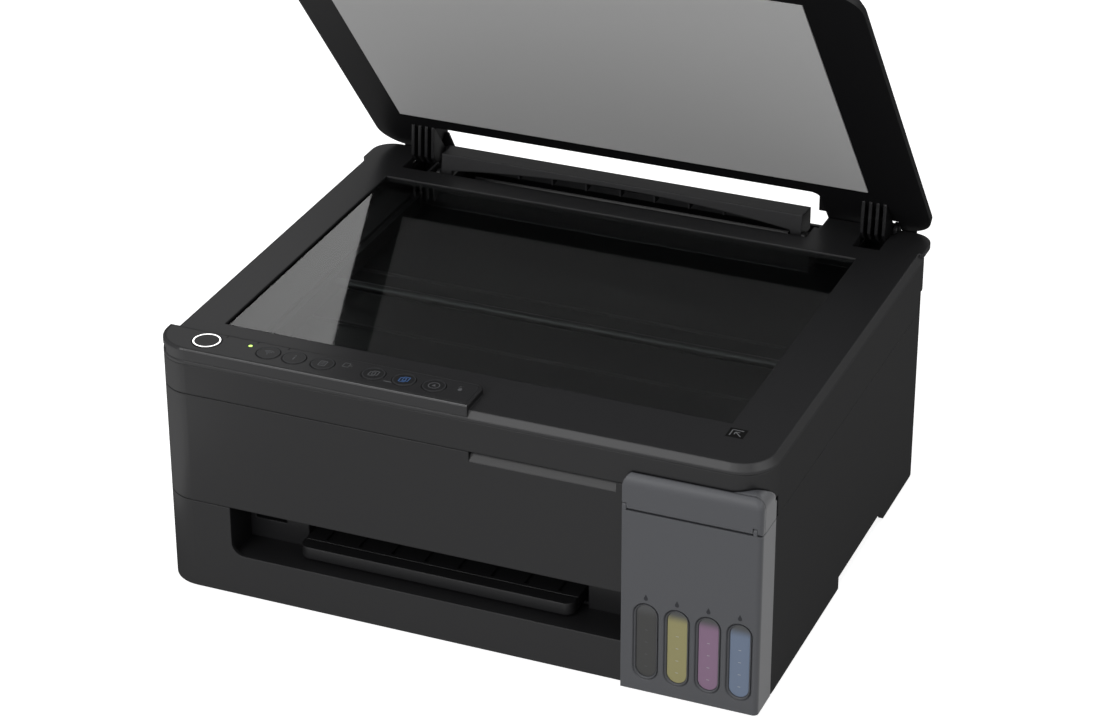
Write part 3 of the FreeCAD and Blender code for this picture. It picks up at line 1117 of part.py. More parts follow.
def usb_socket():
    """The square data socket in the rear wall."""
    floor, rim = "back_y-usb_deep+usb_rim", "usb_rim"
    body = box(("usb_left+clearance", "usb_right-clearance"), ("back_y-usb_deep-wall", "back_y-socket_sink"),
               ("usb_low+clearance", "usb_high-clearance"))
    bay = box((f"usb_left+{rim}", f"usb_right-{rim}"), (floor, "back_y+over"),
              (f"usb_low+{rim}", f"usb_high-{rim}"))
    middle, height = "(usb_left+usb_right)/2", "(usb_low+usb_high)/2"
    tongue = box((f"{middle}-tongue_wide/2", f"{middle}+tongue_wide/2"), (f"{floor}-bite", "back_y-wall"),
                 (f"{height}-tongue_tall/2", f"{height}+tongue_tall/2"))
    return node("usb_socket", fuse(cut(body, bay), tongue))


# Scanner unit


def unit_outline(low, high, inset="0"):
    """The scanner unit's plan: the body's outline carried back to the unit's own rear edge."""
    return rounded_case(low, high, inset, "unit_rear")


def feed_gap(low, high):
    """The gap at the rear of the unit that the feeder stands in."""
    return box(("feed_gap_left", "feed_gap_right"), ("feed_gap_front", "unit_rear+unit_lap"), (low, high))


def hinge_spots():
    """X of the lid's two hinges."""
    return "hinge_left", "hinge_right"


def hinge_span(x, play="0"):
    """Both ends of a lid hinge's width, with some room beside it."""
    return f"{x}-hinge_half-({play})", f"{x}+hinge_half+({play})"


def hinge_well(x, low, high):
    """The pocket that a lid hinge swings down into."""
    front = "lid_axis_y-fin_reach-over-bite"
    return box(hinge_span(x, "fin_play"), (front, "deck_rear+over"), (low, high))


def scanner_tray():
    """The unit's lower shell, with skirts down both sides, lid lugs and hinge knuckles."""
    low, high = "front_seam", "bezel_low"
    hollow = unit_outline(f"{low}+tray_floor", f"{high}+over", "wall")
    shell = cut(unit_outline(low, high), hollow)
    gap = feed_gap(f"{low}-over", f"{high}+over")
    rim = box(("feed_gap_left-wall", "feed_gap_right+wall"), ("feed_gap_front-wall", "unit_rear"),
              (low, high))
    bore = rod("x", ("rod_y", "rod_z"), "rod_radius", "-side_x+wall", "side_x-wall")
    wells = [hinge_well(x, f"{low}+well_rise", f"{high}+over") for x in hinge_spots()]
    bed = fuse(shell, cut(rim, gap), *tray_skirts(), *tray_ribs(), *rod_cradles())
    lugs = [lug(x) for x in lug_places()] + [hinge_pan(x) for x in hinge_spots()]
    return node("scanner_tray", fuse(cut(bed, gap, bore, *wells), *lugs, knuckle(-1), knuckle(1)))


def tray_skirts():
    """The side walls' upper parts, which hang from the unit down to the case's seam."""
    heights = ("side_seam", "front_seam+over")
    return [box((x, f"{x}+wall"), (f"{start}+skirt_gap", "feed_gap_front-seam"), heights)
            for x, start in (("-side_x", "return_y"), ("side_x-wall", "tank_seam_y"))]


def tray_ribs():
    """Low ribs across the tray's floor."""
    starts = [f"rod_y+({place})" for place in ("-rib_front", "rib_middle", "rib_rear")]
    return [box(("-side_x+wall-over", "side_x-wall+over"), (y, f"{y}+2*over"),
                ("front_seam", "front_seam+tray_floor+2*over")) for y in starts]


def rod_cradles():
    """Blocks at both ends of the tray that the scan rod lies in."""
    half = "rod_radius+2*over"
    return [box((x, f"{x}+cradle_wide"), (f"rod_y-({half})", f"rod_y+{half}"), ("front_seam", "rod_z"))
            for x in ("-side_x+wall-over", "side_x-wall+over-cradle_wide")]


def lug_places():
    """Where the lugs beside each lid hinge begin."""
    spans = [hinge_span(x, "fin_play") for x in hinge_spots()]
    return [text for left, right in spans for text in (f"{left}-lug_thick", right)]


def lug(x):
    """A cheek behind the bed that holds the lid's pin."""
    y, z, r, root = "lid_axis_y", "lid_axis_z", "lug_radius", "unit_rear-wall"
    under = "bezel_low-over"
    points = [(root, "pan_low"), (f"{y}+{r}", "pan_low"), (f"{y}+{r}", z), (f"{y}-{r}", z),
              (f"{y}-{r}-2*over", under), (root, under)]
    plate = prism("x", points, x, f"{x}+lug_thick")
    crown = rod("x", (y, z), r, x, f"{x}+lug_thick")
    hole = rod("x", (y, z), "pin_radius+pin_play", f"{x}-over", f"{x}+lug_thick+over")
    return cut(fuse(plate, crown), hole)


def hinge_pan(x):
    """The floor and back between a hinge's two cheeks."""
    xs, back = hinge_span(x, "fin_play+over"), "lid_axis_y+lug_radius"
    floor = box(xs, ("unit_rear-wall", back), ("pan_low", "pan_low+pan_thick"))
    wall = box(xs, (f"{back}-pan_thick", back), ("pan_low", "lid_axis_z-lug_radius-over"))
    return fuse(floor, wall)


def knuckle(side):
    """A barrel with its pin on a web behind the unit, between two ears of the case."""
    place, y, z = ("unit_axis_y", "unit_axis_z"), "unit_axis_y", "unit_axis_z"
    left, right = f"{side}*knuckle_x-knuckle_wide/2", f"{side}*knuckle_x+knuckle_wide/2"
    barrel = rod("x", place, "knuckle_radius", left, right)
    web = box((left, right), ("unit_rear-wall", y), (f"{z}-wall", f"{z}+wall"))
    pin = rod("x", place, "pin_radius", f"{left}-seam-ear_thick", f"{right}+seam+ear_thick")
    return fuse(barrel, web, pin)


def scanner_bezel():
    """The bed: a frame round the glass with a bevelled front, a raised strip and two rear decks."""
    under, above = "bezel_low-over", "bed_top+over"
    plate = unit_outline("bezel_low", "bed_top")
    plate.recompute(True)
    bevel = trim("Part::Chamfer", plate, bevel_edges(plate.Shape), "bevel_height", "bevel_depth")
    keep = box(("-side_x-over", "strip_right"), ("front_y-over", "front_y+bevel_depth+over"),
               ("bed_top-bevel_height-bite", "bed_top"))
    strip_edge = overlap(unit_outline("bezel_low", "bed_top"), keep)
    window = box(("glass_left", "glass_right"), ("glass_front", "glass_rear"), (under, above))
    seat = box(("glass_left-glass_ledge", "glass_right+glass_ledge"),
               ("glass_front-glass_ledge", "glass_rear+glass_ledge"), (under, "glass_top"))
    pocket = strip_part("strip_top-panel_thick", "strip_top+over", "panel_inset-panel_play")
    holes = button_holes("strip_top-button_deep-button_travel-2*clearance")
    wells = [hinge_well(x, under, above) for x in hinge_spots()]
    whole = fuse(bevel, strip_edge, raised_strip(), hinge_decks())
    gap = feed_gap(under, above)
    return node("scanner_bezel", cut(whole, window, seat, gap, pocket, *holes, *lamp_wells(), *wells))


def button_holes(low):
    """The round holes that the buttons sink into, from a depth up."""
    return [rod("z", (x, "button_y"), f"{radius}+button_play", low, "strip_top+over")
            for _, x, radius in buttons()]


def hinge_decks():
    """The bed's rear corners, carried back over the scanner hinge as far as the lid's pins."""
    rear, heights = "deck_rear", ("bezel_low", "bed_top+over")
    plain = box(("-side_x", "side_x"), ("unit_rear-corner_rear-over", rear),
                ("bed_top-deck_thick", "bed_top"))
    soft = ease(plain, "deck_corner", "z", {"x": "-side_x", "y": rear}, {"x": "side_x", "y": rear})
    past = f"{rear}+over"
    middle = box(("feed_gap_left-deck_gap", "feed_gap_right+deck_gap"), ("unit_rear", past), heights)
    beside = "fin_play+lug_thick+lug_play"
    rooms = [box(hinge_span(x, beside), ("unit_rear+deck_lead", past), heights) for x in hinge_spots()]
    return cut(soft, middle, *rooms)


def strip_part(low, high, inset="0"):
    """The raised strip's plan between two heights, set in from its edges."""
    right, back = f"strip_right-({inset})", f"strip_back-({inset})"
    keep = box(("-side_x-over", right), ("front_y-over", back), (f"{low}-over", f"{high}+over"))
    keep = ease(keep, f"strip_corner-({inset})", "z", {"x": right, "y": back})
    return overlap(unit_outline(low, high, inset), keep)


def raised_strip():
    """The strip's body on the bed, with soft upper edges."""
    strip = strip_part("bed_top", "strip_top")
    strip.recompute(True)
    return trim("Part::Fillet", strip, edges_above(strip.Shape, "strip_top"), "strip_ease", "strip_ease")


def edges_above(shape, height):
    """Numbers of the edges that lie at a height or above it."""
    return [n for n, edge in enumerate(shape.Edges, 1) if edge.BoundBox.ZMin > val(height) - TOLERANCE]


def bevel_edges(shape):
    """Numbers of the top edges along the front and round the front right corner."""
    found = []
    for number in edges_above(shape, "bed_top"):
        limits = shape.Edges[number - 1].BoundBox
        front = limits.YMax < val("front_y+corner_front") + TOLERANCE
        if front and limits.XMax > val("-side_x+corner_front"):
            found.append(number)
    return found


def platen_glass():
    """The scanner glass, held under the bezel."""
    grow = "glass_ledge-hairline"
    pane = box((f"glass_left-({grow})", f"glass_right+({grow})"),
               (f"glass_front-({grow})", f"glass_rear+({grow})"), ("glass_top-glass_thick", "glass_top"))
    return node("platen_glass", pane)


def buttons():
    """Name, x and radius of each button."""
    names = {"network": "one", "info": "two", "sheet": "three", "mono_copy": "four", "colour_copy": "five",
             "stop": "six"}
    keys = [(f"{name}_button", f"key_{place}_x", "button_radius") for name, place in names.items()]
    return [("power_button", "power_x", "power_radius")] + keys


def control_panel():
    """The face let into the strip, pierced for its buttons and lamps."""
    face = strip_part("strip_top-panel_thick", "strip_top", "panel_inset")
    return node("control_panel", cut(face, *button_holes("bed_top"), *lamp_wells()))


def lamp_wells():
    """The round wells of the small lamps."""
    return [rod("z", (x, "lens_y"), "lens_radius", "bed_top+over", "strip_top+over") for x in lens_places()]


def lens_places():
    """X of the small lamps along the strip."""
    return "lens_x", "(key_three_x+key_four_x)/2", "key_six_x+lens_last"


def status_lenses():
    """Clear plugs over the lamps."""
    plugs = [rod("z", (x, "lens_y"), "lens_radius", "bed_top+over", "strip_top+lens_proud")
             for x in lens_places()]
    return node("status_lenses", group(*plugs))


def button(name, x, radius):
    """A round key with a slightly domed top that sinks into the strip."""
    top = "strip_top+button_proud"
    stem = rod("z", (x, "button_y"), radius, "strip_top-button_deep", top)
    stem.recompute(True)
    rim = edges_above(stem.Shape, top)
    return node(name, trim("Part::Fillet", stem, rim, "button_proud", "button_proud"))


def scan_rod():
    """The steel rod that the scan carriage runs along."""
    return node("scan_rod", rod("x", ("rod_y", "rod_z"), "rod_radius", "-side_x+wall", "side_x-wall"))


def scan_carriage():
    """The bar that crosses under the glass, bored for its rod."""
    left, right = "bar_low_end", "bar_low_end+bar_width"
    bar = box((left, right), ("bar_front", "bar_rear"), ("bar_low", "bar_high-bar_wall/2"))
    bore = rod("x", ("rod_y", "rod_z"), "rod_radius+shaft_play", f"{left}-over", f"{right}+over")
    trough = box((f"{left}+bar_wall", f"{right}-bar_wall"), ("bar_front+bar_end", "bar_rear-bar_end"),
                 ("bar_high-bar_wall", "bar_high"))
    return node("scan_carriage", cut(bar, bore, trough))


def image_sensor():
    """The contact sensor strip that lies in the scan carriage."""
    side, end = "bar_wall+hairline", "bar_end+hairline"
    sensor = box((f"bar_low_end+{side}", f"bar_low_end+bar_width-({side})"),
                 (f"bar_front+{end}", f"bar_rear-({end})"), ("bar_high-bar_wall", "bar_high"))
    return node("image_sensor", sensor)


# Lid, modelled closed and then turned open about its pins


def lift_lid(item):
    """Turn a closed lid piece to its open place."""
    axis = FreeCAD.Vector(0, val("lid_axis_y"), val("lid_axis_z"))
    turn = FreeCAD.Rotation(FreeCAD.Vector(1, 0, 0), -val("lid_open"))
    item.Placement = FreeCAD.Placement(axis - turn.multVec(axis), turn)
    return item


def lid_outline(low, high, inset="0", bevel=None):
    """The lid's plan with its round corners, sloped edges where asked, and the notch for the feeder."""
    left, right = f"-lid_half+({inset})", f"lid_half-({inset})"
    front, rear = f"lid_front+({inset})", f"lid_rear-({inset})"
    plain = box((left, right), (front, rear), (low, high))
    corners = [{"x": x, "y": y} for x in (left, right) for y in (front, rear)]
    block = ease(plain, f"lid_corner-({inset})", "z", *corners)
    if bevel:
        block = bevel_top(block, high, bevel)
    return cut(block, lid_notch(low, high, inset))


def bevel_top(block, high, size):
    """Slope the whole top edge of a block."""
    block.recompute(True)
    return trim("Part::Chamfer", block, edges_above(block.Shape, high), size, size)


def lid_notch(low, high, inset):
    """The gap in the lid's rear edge that clears the feeder."""
    left, right = f"lid_notch_left-({inset})", f"lid_notch_right+({inset})"
    front = f"notch_front-({inset})"
    gap = box((left, right), (front, "lid_rear+over"), (f"{low}-over", f"{high}+over"))
    return ease(gap, "notch_corner", "z", {"x": left, "y": front}, {"x": right, "y": front})


def hinge_rooms():
    """The cut-outs round the hinge lugs at the lid's rear edge."""
    ys, zs = ("lid_axis_y-room_front", "lid_rear+over"), ("lid_low-room_front", "lid_axis_z+room_front")
    return [box(hinge_span(x, "lug_thick+room_play"), ys, zs) for x in hinge_spots()]


def lid_shell():
    """The hollow outer cover of the lid, with sloped edges."""
    low, high = "lid_low+liner_thick", "case_height"
    skin = lid_outline(low, high, bevel="lid_bevel")
    room = lid_outline(f"{low}-over", f"{high}-lid_wall", "lid_wall", "lid_bevel-over")
    return node("lid_shell", lift_lid(cut(skin, room, *hinge_rooms())))


def lid_liner():
    """The dark inner frame round the mat."""
    plate = lid_outline("lid_low", "lid_low+liner_thick")
    seat = box(("mat_left-hairline", "mat_right+hairline"), ("mat_front-hairline", "mat_rear+hairline"),
               ("lid_low-over", "mat_low+mat_thick"))
    return node("lid_liner", lift_lid(cut(plate, seat, *hinge_rooms())))


def document_mat():
    """The pale pad that holds the page flat."""
    pad = box(("mat_left", "mat_right"), ("mat_front", "mat_rear"), ("mat_low", "mat_low+mat_thick"))
    return node("document_mat", lift_lid(group(pad)))


def lid_hinges():
    """Two hinges of four fins each, on pins behind the bed."""
    parts = [hinge(x) for x in hinge_spots()]
    return node("lid_hinges", lift_lid(group(*parts)))


def hinge(x):
    """Four fins under the lid, joined by a barrel and a plate, with the pin through them."""
    y, z, deep, root = "lid_axis_y", "lid_axis_z", "lid_axis_z-fin_deep", "lid_axis_y-2*over"
    points = [(f"{y}-fin_reach", "lid_low"), (f"{y}-fin_toe", deep), (f"{y}-fin_heel", deep),
              (root, f"{z}-barrel_radius"), (root, "lid_low")]
    starts = [f"{x}-hinge_half+{step}*fin_pitch" for step in range(4)]
    fins = [prism("x", points, start, f"{start}+fin_thick") for start in starts]
    barrel = rod("x", (y, z), "barrel_radius", *hinge_span(x))
    arm = box(hinge_span(x), (f"{y}-fin_heel", y), (f"{z}-wall", "lid_low"))
    pin = rod("x", (y, z), "pin_radius", *hinge_span(x, "fin_play+lug_thick"))
    return fuse(barrel, arm, pin, *fins)


def build():
    """Make every sub-part."""
    rubber_feet()
    base_pan()
    main_case()
    front_panel()
    rear_cover()
    case_screws()
    tank_housing()
    ink_tanks()
    filler_stoppers()
    tank_flap()
    tank_shoulder()
    exit_guide()
    output_tray()
    tray_extension()
    rear_hopper()
    paper_support()
    edge_guide("edge_guide_left", "sheet_left")
    edge_guide("edge_guide_right", "sheet_right-edge_thick")
    feeder_guard()
    side_frames()
    feed_roller()
    eject_roller()
    pickup_roller()
    idler_gear()
    motor_pinion()
    drive_motors()
    platen()
    carriage_rail()
    encoder_strip()
    print_carriage()
    print_head()
    carriage_belt()
    drive_pulley()
    idler_pulley()
    capping_station()
    waste_ink_pad()
    main_board()
    power_supply()
    power_inlet()
    usb_socket()
    scanner_tray()
    scanner_bezel()
    platen_glass()
    control_panel()
    status_lenses()
    for name, x, radius in buttons():
        button(name, x, radius)
    scan_rod()
    scan_carriage()
    image_sensor()
    lid_shell()
    lid_liner()
    document_mat()
    lid_hinges()


def check():
    """Stop if anything in the document failed."""
    failed = [item.Label for item in doc.Objects if {"Invalid", "Error"} & set(item.State)]
    if failed:
        raise RuntimeError(f"failed: {failed}")
    for label, item in NODES.items():
        if item.Shape.isNull() or not item.Shape.isValid() or not item.Shape.Solids:
            raise RuntimeError(f"{label} has no valid solid")


def export():
    """Write each sub-part to its own file."""
    os.makedirs("parts", exist_ok=True)
    for label, item in NODES.items():
        item.Shape.exportStep(f"parts/{label}.step")


fill_sheet()
build()
doc.recompute()
check()
export()
print(len(NODES), "sub-parts")
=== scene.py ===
"""Looks of an all-in-one inkjet printer with refillable tanks, dressed on its solid frame.

Everything is in metres, in the frame of the solids: +X right, front towards -Y, +Z up. Sizes that
are easier to read in millimetres carry the ending _mm and pass through mm().
"""

import logging
import math
from dataclasses import dataclass, field
from enum import Enum
from typing import ClassVar

import bpy
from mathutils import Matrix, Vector


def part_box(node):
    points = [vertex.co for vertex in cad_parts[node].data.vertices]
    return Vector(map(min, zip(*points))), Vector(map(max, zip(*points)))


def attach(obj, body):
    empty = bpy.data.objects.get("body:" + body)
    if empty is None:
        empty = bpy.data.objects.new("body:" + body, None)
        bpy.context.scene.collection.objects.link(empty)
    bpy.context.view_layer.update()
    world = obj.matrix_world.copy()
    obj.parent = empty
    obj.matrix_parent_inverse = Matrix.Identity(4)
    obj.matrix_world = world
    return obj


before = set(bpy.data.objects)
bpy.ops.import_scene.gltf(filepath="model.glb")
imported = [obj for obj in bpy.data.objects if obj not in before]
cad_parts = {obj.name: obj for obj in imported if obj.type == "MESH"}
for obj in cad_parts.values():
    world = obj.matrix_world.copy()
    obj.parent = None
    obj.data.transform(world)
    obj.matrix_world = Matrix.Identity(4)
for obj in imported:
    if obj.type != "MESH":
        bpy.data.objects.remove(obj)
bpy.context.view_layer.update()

LOG = logging.getLogger("printer")
WHITE = "#ffffff"
Polygon = list[tuple[float, float]]


def mm(value: float) -> float:
    """Turn millimetres into metres."""
    return value / 1000.0


def in_mm(value: float) -> float:
    """Turn metres into millimetres."""
    return value * 1000.0


def colour(text: str) -> tuple[float, float, float, float]:
    """Turn an sRGB hex colour into linear values.

    Args:
        text: Six hex digits after a hash.

    Returns:
        Linear red, green and blue, with full alpha.
    """
    parts = [int(text[i:i + 2], 16) / 255.0 for i in (1, 3, 5)]
    linear = [c / 12.92 if c <= 0.04045 else ((c + 0.055) / 1.055) ** 2.4 for c in parts]
    return (*linear, 1.0)


def add(tree: bpy.types.NodeTree, kind: str, links: dict | None = None,
        **settings: object) -> bpy.types.Node:
    """Add a node with its settings and links.

    Args:
        tree: The tree that takes the node.
        kind: The node's type.
        links: Input name or number to an output socket or a plain value.
        **settings: Properties of the node itself.

    Returns:
        The new node.
    """
    node = tree.nodes.new(kind)
    for name, value in settings.items():
        setattr(node, name, value)
    for key, value in (links or {}).items():
        if isinstance(value, bpy.types.NodeSocket):
            tree.links.new(value, node.inputs[key])
        else:
            node.inputs[key].default_value = value
    return node


def blank_material(name: str) -> bpy.types.Material:
    """Make a material with an empty node tree.

    Args:
        name: The material's name.

    Returns:
        The new material.
    """
    made = bpy.data.materials.new(name)
    made.use_nodes = True
    made.node_tree.nodes.clear()
    return made


class Finish:
    """A surface: makes its material once and hands it out."""

    name: str
    made: ClassVar[dict[str, bpy.types.Material]] = {}

    def material(self) -> bpy.types.Material:
        """The finish's material, made on first use.

        Returns:
            The material.
        """
        if self.name not in Finish.made:
            Finish.made[self.name] = blank_material(self.name)
            self.shade(Finish.made[self.name].node_tree)
        return Finish.made[self.name]

    def shade(self, tree: bpy.types.NodeTree) -> None:
        """Build the shader in an empty node tree. Each kind of finish has its own."""
        raise NotImplementedError

    def end(self, tree: bpy.types.NodeTree, shader: bpy.types.NodeSocket) -> None:
        """Lead a shader to the material's output."""
        add(tree, "ShaderNodeOutputMaterial", {"Surface": shader})


@dataclass(frozen=True)
class Moulded(Finish):
    """Moulded, pressed or drawn stock: an even colour, with fine grain and soft edges where set.

    An eroded face breaks up the glare that a smooth one shows at a slant. Where sheen is set, the
    gloss is that fixed share from every side, laid over a matt colour.
    """

    name: str
    hex: str
    roughness: float
    specular: float = 0.3
    sheen: float = 0.0
    grain_mm: float = 0.0
    grain_depth: float = 0.0
    edge_mm: float = 0.0
    metallic: float = 0.0
    grain_detail: float = 2.0
    grain_roughness: float = 0.6
    grain_height_mm: float = 0.1
    edge_samples: int = 4

    def relief(self, tree: bpy.types.NodeTree) -> dict[str, bpy.types.NodeSocket]:
        """Build the soft edges and the grain.

        Args:
            tree: The material's node tree.

        Returns:
            The bent normal as a link for a shader, or nothing where the face is plain.
        """
        normal = {}
        if self.edge_mm:
            soft = add(tree, "ShaderNodeBevel", {"Radius": mm(self.edge_mm)}, samples=self.edge_samples)
            normal = {"Normal": soft.outputs[0]}
        if self.grain_mm:
            spot = add(tree, "ShaderNodeTexCoord").outputs["Object"]
            grain = add(tree, "ShaderNodeTexNoise", {
                "Vector": spot, "Scale": 1.0 / mm(self.grain_mm), "Detail": self.grain_detail,
                "Roughness": self.grain_roughness})
            bump = add(tree, "ShaderNodeBump", {
                "Height": grain.outputs["Fac"], "Strength": self.grain_depth,
                "Distance": mm(self.grain_height_mm), **normal})
            normal = {"Normal": bump.outputs["Normal"]}
        return normal

    def shade(self, tree: bpy.types.NodeTree) -> None:
        """Build the shader, with its gloss laid over it.

        Args:
            tree: The material's empty node tree.
        """
        normal = self.relief(tree)
        links = {"Base Color": colour(self.hex), "Roughness": self.roughness,
                 "Metallic": self.metallic, **normal}
        if not self.metallic:
            links["Specular IOR Level"] = 0.0 if self.sheen else self.specular
        shader = add(tree, "ShaderNodeBsdfPrincipled", links).outputs[0]
        if self.sheen:
            gloss = add(tree, "ShaderNodeBsdfGlossy", {
                "Color": colour(WHITE), "Roughness": self.roughness, **normal})
            shader = add(tree, "ShaderNodeMixShader", {
                "Fac": self.sheen, 1: shader, 2: gloss.outputs[0]}).outputs[0]
        self.end(tree, shader)


@dataclass(frozen=True)
class Glowing(Finish):
    """A lamp behind a clear window: it shines with its own colour."""

    name: str
    hex: str
    strength: float
    roughness: float = 0.3

    def shade(self, tree: bpy.types.NodeTree) -> None:
        """Build the lamp's shader.

        Args:
            tree: The material's empty node tree.
        """
        shader = add(tree, "ShaderNodeBsdfPrincipled", {
            "Base Color": colour(self.hex), "Roughness": self.roughness,
            "Emission Color": colour(self.hex), "Emission Strength": self.strength})
        self.end(tree, shader.outputs[0])


@dataclass(frozen=True)
class FloatGlass(Finish):
    """Float glass with a damped under face: clear, and its upper face mirrors more at a slant."""

    name: str
    hex: str
    ior: float
    roughness: float

    def shade(self, tree: bpy.types.NodeTree) -> None:
        """Build the pane's shader, in which the under face only lets light through.

        Args:
            tree: The material's empty node tree.
        """
        clear = add(tree, "ShaderNodeBsdfTransparent", {"Color": colour(self.hex)})
        mirror = add(tree, "ShaderNodeBsdfGlossy", {"Color": colour(WHITE), "Roughness": self.roughness})
        upper = add(tree, "ShaderNodeFresnel", {"IOR": self.ior})
        inside = add(tree, "ShaderNodeNewGeometry").outputs["Backfacing"]
        share = add(tree, "ShaderNodeMath", {0: upper.outputs[0], 1: inside}, operation="SUBTRACT",
                    use_clamp=True)
        mixed = add(tree, "ShaderNodeMixShader", {
            "Fac": share.outputs[0], 1: clear.outputs[0], 2: mirror.outputs[0]})
        self.end(tree, mixed.outputs[0])


@dataclass(frozen=True)
class InkFilledTank(Finish):
    """Frosted polypropylene tanks: each shows its ink up to the level, and above it clear plastic painted
    dark, with painted shade from the rim.
    """

    name: str
    inks: tuple[str, ...]
    clear: str
    borders_mm: tuple[float, ...]
    level_mm: tuple[float, float]
    border_mm: float = 0.1
    roughness: float = 0.35
    specular: float = 0.4

    def shade(self, tree: bpy.types.NodeTree) -> None:
        """Build the tank's shader: bands across the tanks, and a soft level up their height.

        Args:
            tree: The material's empty node tree.
        """
        spot = add(tree, "ShaderNodeTexCoord").outputs["Object"]
        axes = add(tree, "ShaderNodeSeparateXYZ", {0: spot}).outputs
        paint: bpy.types.NodeSocket | tuple = colour(self.inks[0])
        for border, ink in zip(self.borders_mm, self.inks[1:]):
            paint = self.over(tree, paint, axes["X"], (border, border + self.border_mm), ink)
        # Above the level the clear plastic is painted dark: the empty tank, with painted shade from the
        # window's rim.
        paint = self.over(tree, paint, axes["Z"], self.level_mm, self.clear)
        shader = add(tree, "ShaderNodeBsdfPrincipled", {
            "Base Color": paint, "Roughness": self.roughness, "Specular IOR Level": self.specular})
        self.end(tree, shader.outputs[0])

    def over(self, tree: bpy.types.NodeTree, below: bpy.types.NodeSocket | tuple,
             along: bpy.types.NodeSocket, span_mm: tuple[float, float], top: str) -> bpy.types.NodeSocket:
        """Lay a colour over another beyond a place on an axis.

        Args:
            tree: The material's node tree.
            below: The colour underneath.
            along: The place along the axis.
            span_mm: Where the upper colour starts, and where it covers fully.
            top: The colour laid over it.

        Returns:
            The mixed colour.
        """
        low, high = span_mm
        share = add(tree, "ShaderNodeMapRange", {
            "Value": along, "From Min": mm(low), "From Max": mm(high)}, interpolation_type="SMOOTHSTEP")
        mixed = add(tree, "ShaderNodeMix", {"Factor": share.outputs[0]}, data_type="RGBA")
        first, second = [socket for socket in mixed.inputs if socket.type == "RGBA"]
        if isinstance(below, tuple):
            first.default_value = below
        else:
            tree.links.new(below, first)
        second.default_value = colour(top)
        return mixed.outputs["Result"]


@dataclass(frozen=True)
class LampStrip(Finish):
    """Clear lenses over lamps: the one to the left of a border is lit, the rest are dark."""

    name: str
    lit: str
    dark: str
    border_mm: float
    strength: float
    roughness: float = 0.25

    def shade(self, tree: bpy.types.NodeTree) -> None:
        """Build the lenses' shader.

        Args:
            tree: The material's empty node tree.
        """
        spot = add(tree, "ShaderNodeTexCoord").outputs["Object"]
        axes = add(tree, "ShaderNodeSeparateXYZ", {0: spot})
        on = add(tree, "ShaderNodeMath", {0: axes.outputs["X"], 1: mm(self.border_mm)},
                 operation="LESS_THAN")
        off = add(tree, "ShaderNodeBsdfPrincipled", {
            "Base Color": colour(self.dark), "Roughness": self.roughness})
        glow = add(tree, "ShaderNodeBsdfPrincipled", {
            "Base Color": colour(self.lit), "Roughness": self.roughness,
            "Emission Color": colour(self.lit), "Emission Strength": self.strength})
        mixed = add(tree, "ShaderNodeMixShader", {
            "Fac": on.outputs[0], 1: off.outputs[0], 2: glow.outputs[0]})
        self.end(tree, mixed.outputs[0])


# Black ABS with a fine eroded grain: even and matt, with a soft sheen along its edges.
BLACK_ABS = Moulded("moulded black ABS", "#171718", 0.34, sheen=0.018, grain_mm=0.9, grain_depth=0.1,
                    edge_mm=1.2)
# The bed is the same plastic with a coarser grain, which breaks up what it mirrors.
# Its colour is painted lighter than the case's black. This painted light makes up for the lid's shade over
# the bed and the feeder guard, and the strip shares it.
LIGHTENED_BLACK_ABS = Moulded("coarse grained black ABS painted lighter", "#222223", 0.34, sheen=0.018, grain_mm=1.1, grain_depth=0.2,
                  edge_mm=1.2)
# The lid's inner frame is smoother and deeper black.
LINER_ABS = Moulded("smooth black ABS", "#101011", 0.4, sheen=0.012, edge_mm=0.4)
# The tank unit is a cool grey ABS, satin and even.
GREY_ABS = Moulded("moulded grey ABS", "#3c3d40", 0.45, 0.3, grain_mm=0.8, grain_depth=0.06, edge_mm=1.0)
# The pad is a dense pale sheet, quite matt.
PAD_SHEET = Moulded("pale foamed polystyrene sheet", "#a2a2a2", 0.8, 0.1)
# The scanner's tray is the same plastic from a polished mould: its floor looks even through the glass.
TRAY_ABS = Moulded("smooth moulded black ABS", "#171718", 0.34, sheen=0.018, edge_mm=1.2)
# The scanning head is plain and dull, so that it stays hidden under the glass.
HEAD_ABS = Moulded("dull dark ABS", "#161617", 0.5, sheen=0.012)
# Keys are the strip's own plastic, a touch smoother, so that they barely part from it.
KEY_ABS = Moulded("satin black key ABS", "#1d1d1e", 0.34, sheen=0.018)
# The strip's front edge was drawn in a polished part of the mould, and shows as a thin light line.
EDGE_ABS = Moulded("polished black ABS edge", "#222223", 0.34, sheen=0.03)
# Screen print lies flat and matt on the plastic, from nearly hidden to pale.
BLACK_PRINT = Moulded("black screen print", "#070707", 0.7, sheen=0.008)
DARK_PRINT = Moulded("dark screen print", "#26272a", 0.6, sheen=0.01)
FAINT_PRINT = Moulded("faint screen print", "#353638", 0.6, sheen=0.01)
GREY_PRINT = Moulded("grey screen print", "#4a4b4d", 0.6, sheen=0.01)
MARK_PRINT = Moulded("mid grey screen print", "#636466", 0.6, sheen=0.01)
SCALE_PRINT = Moulded("light grey screen print", "#939494", 0.6, sheen=0.01)
PALE_PRINT = Moulded("pale screen print", "#c9cacb", 0.6, sheen=0.01)
# Works that stay out of sight are plain dark plastic, neither matt nor glossy.
WORKS_ABS = Moulded("moulded dark works ABS", "#242426", 0.5, 0.3)
# Rubber takes nearly all light and shows no highlight.
BLACK_RUBBER = Moulded("moulded black rubber", "#161616", 0.8, 0.2)
# Gears and pulleys are waxy off-white with a soft highlight.
POM = Moulded("moulded white POM", "#d6d5cf", 0.4, 0.4)
# Zinc gives pressed sheet a soft grey shine, and grinding gives shafts a bright one.
GALVANISED = Moulded("galvanised sheet steel", "#a9adb0", 0.38, metallic=1.0)
BRIGHT_STEEL = Moulded("ground steel", "#c3c5c8", 0.25, metallic=1.0)
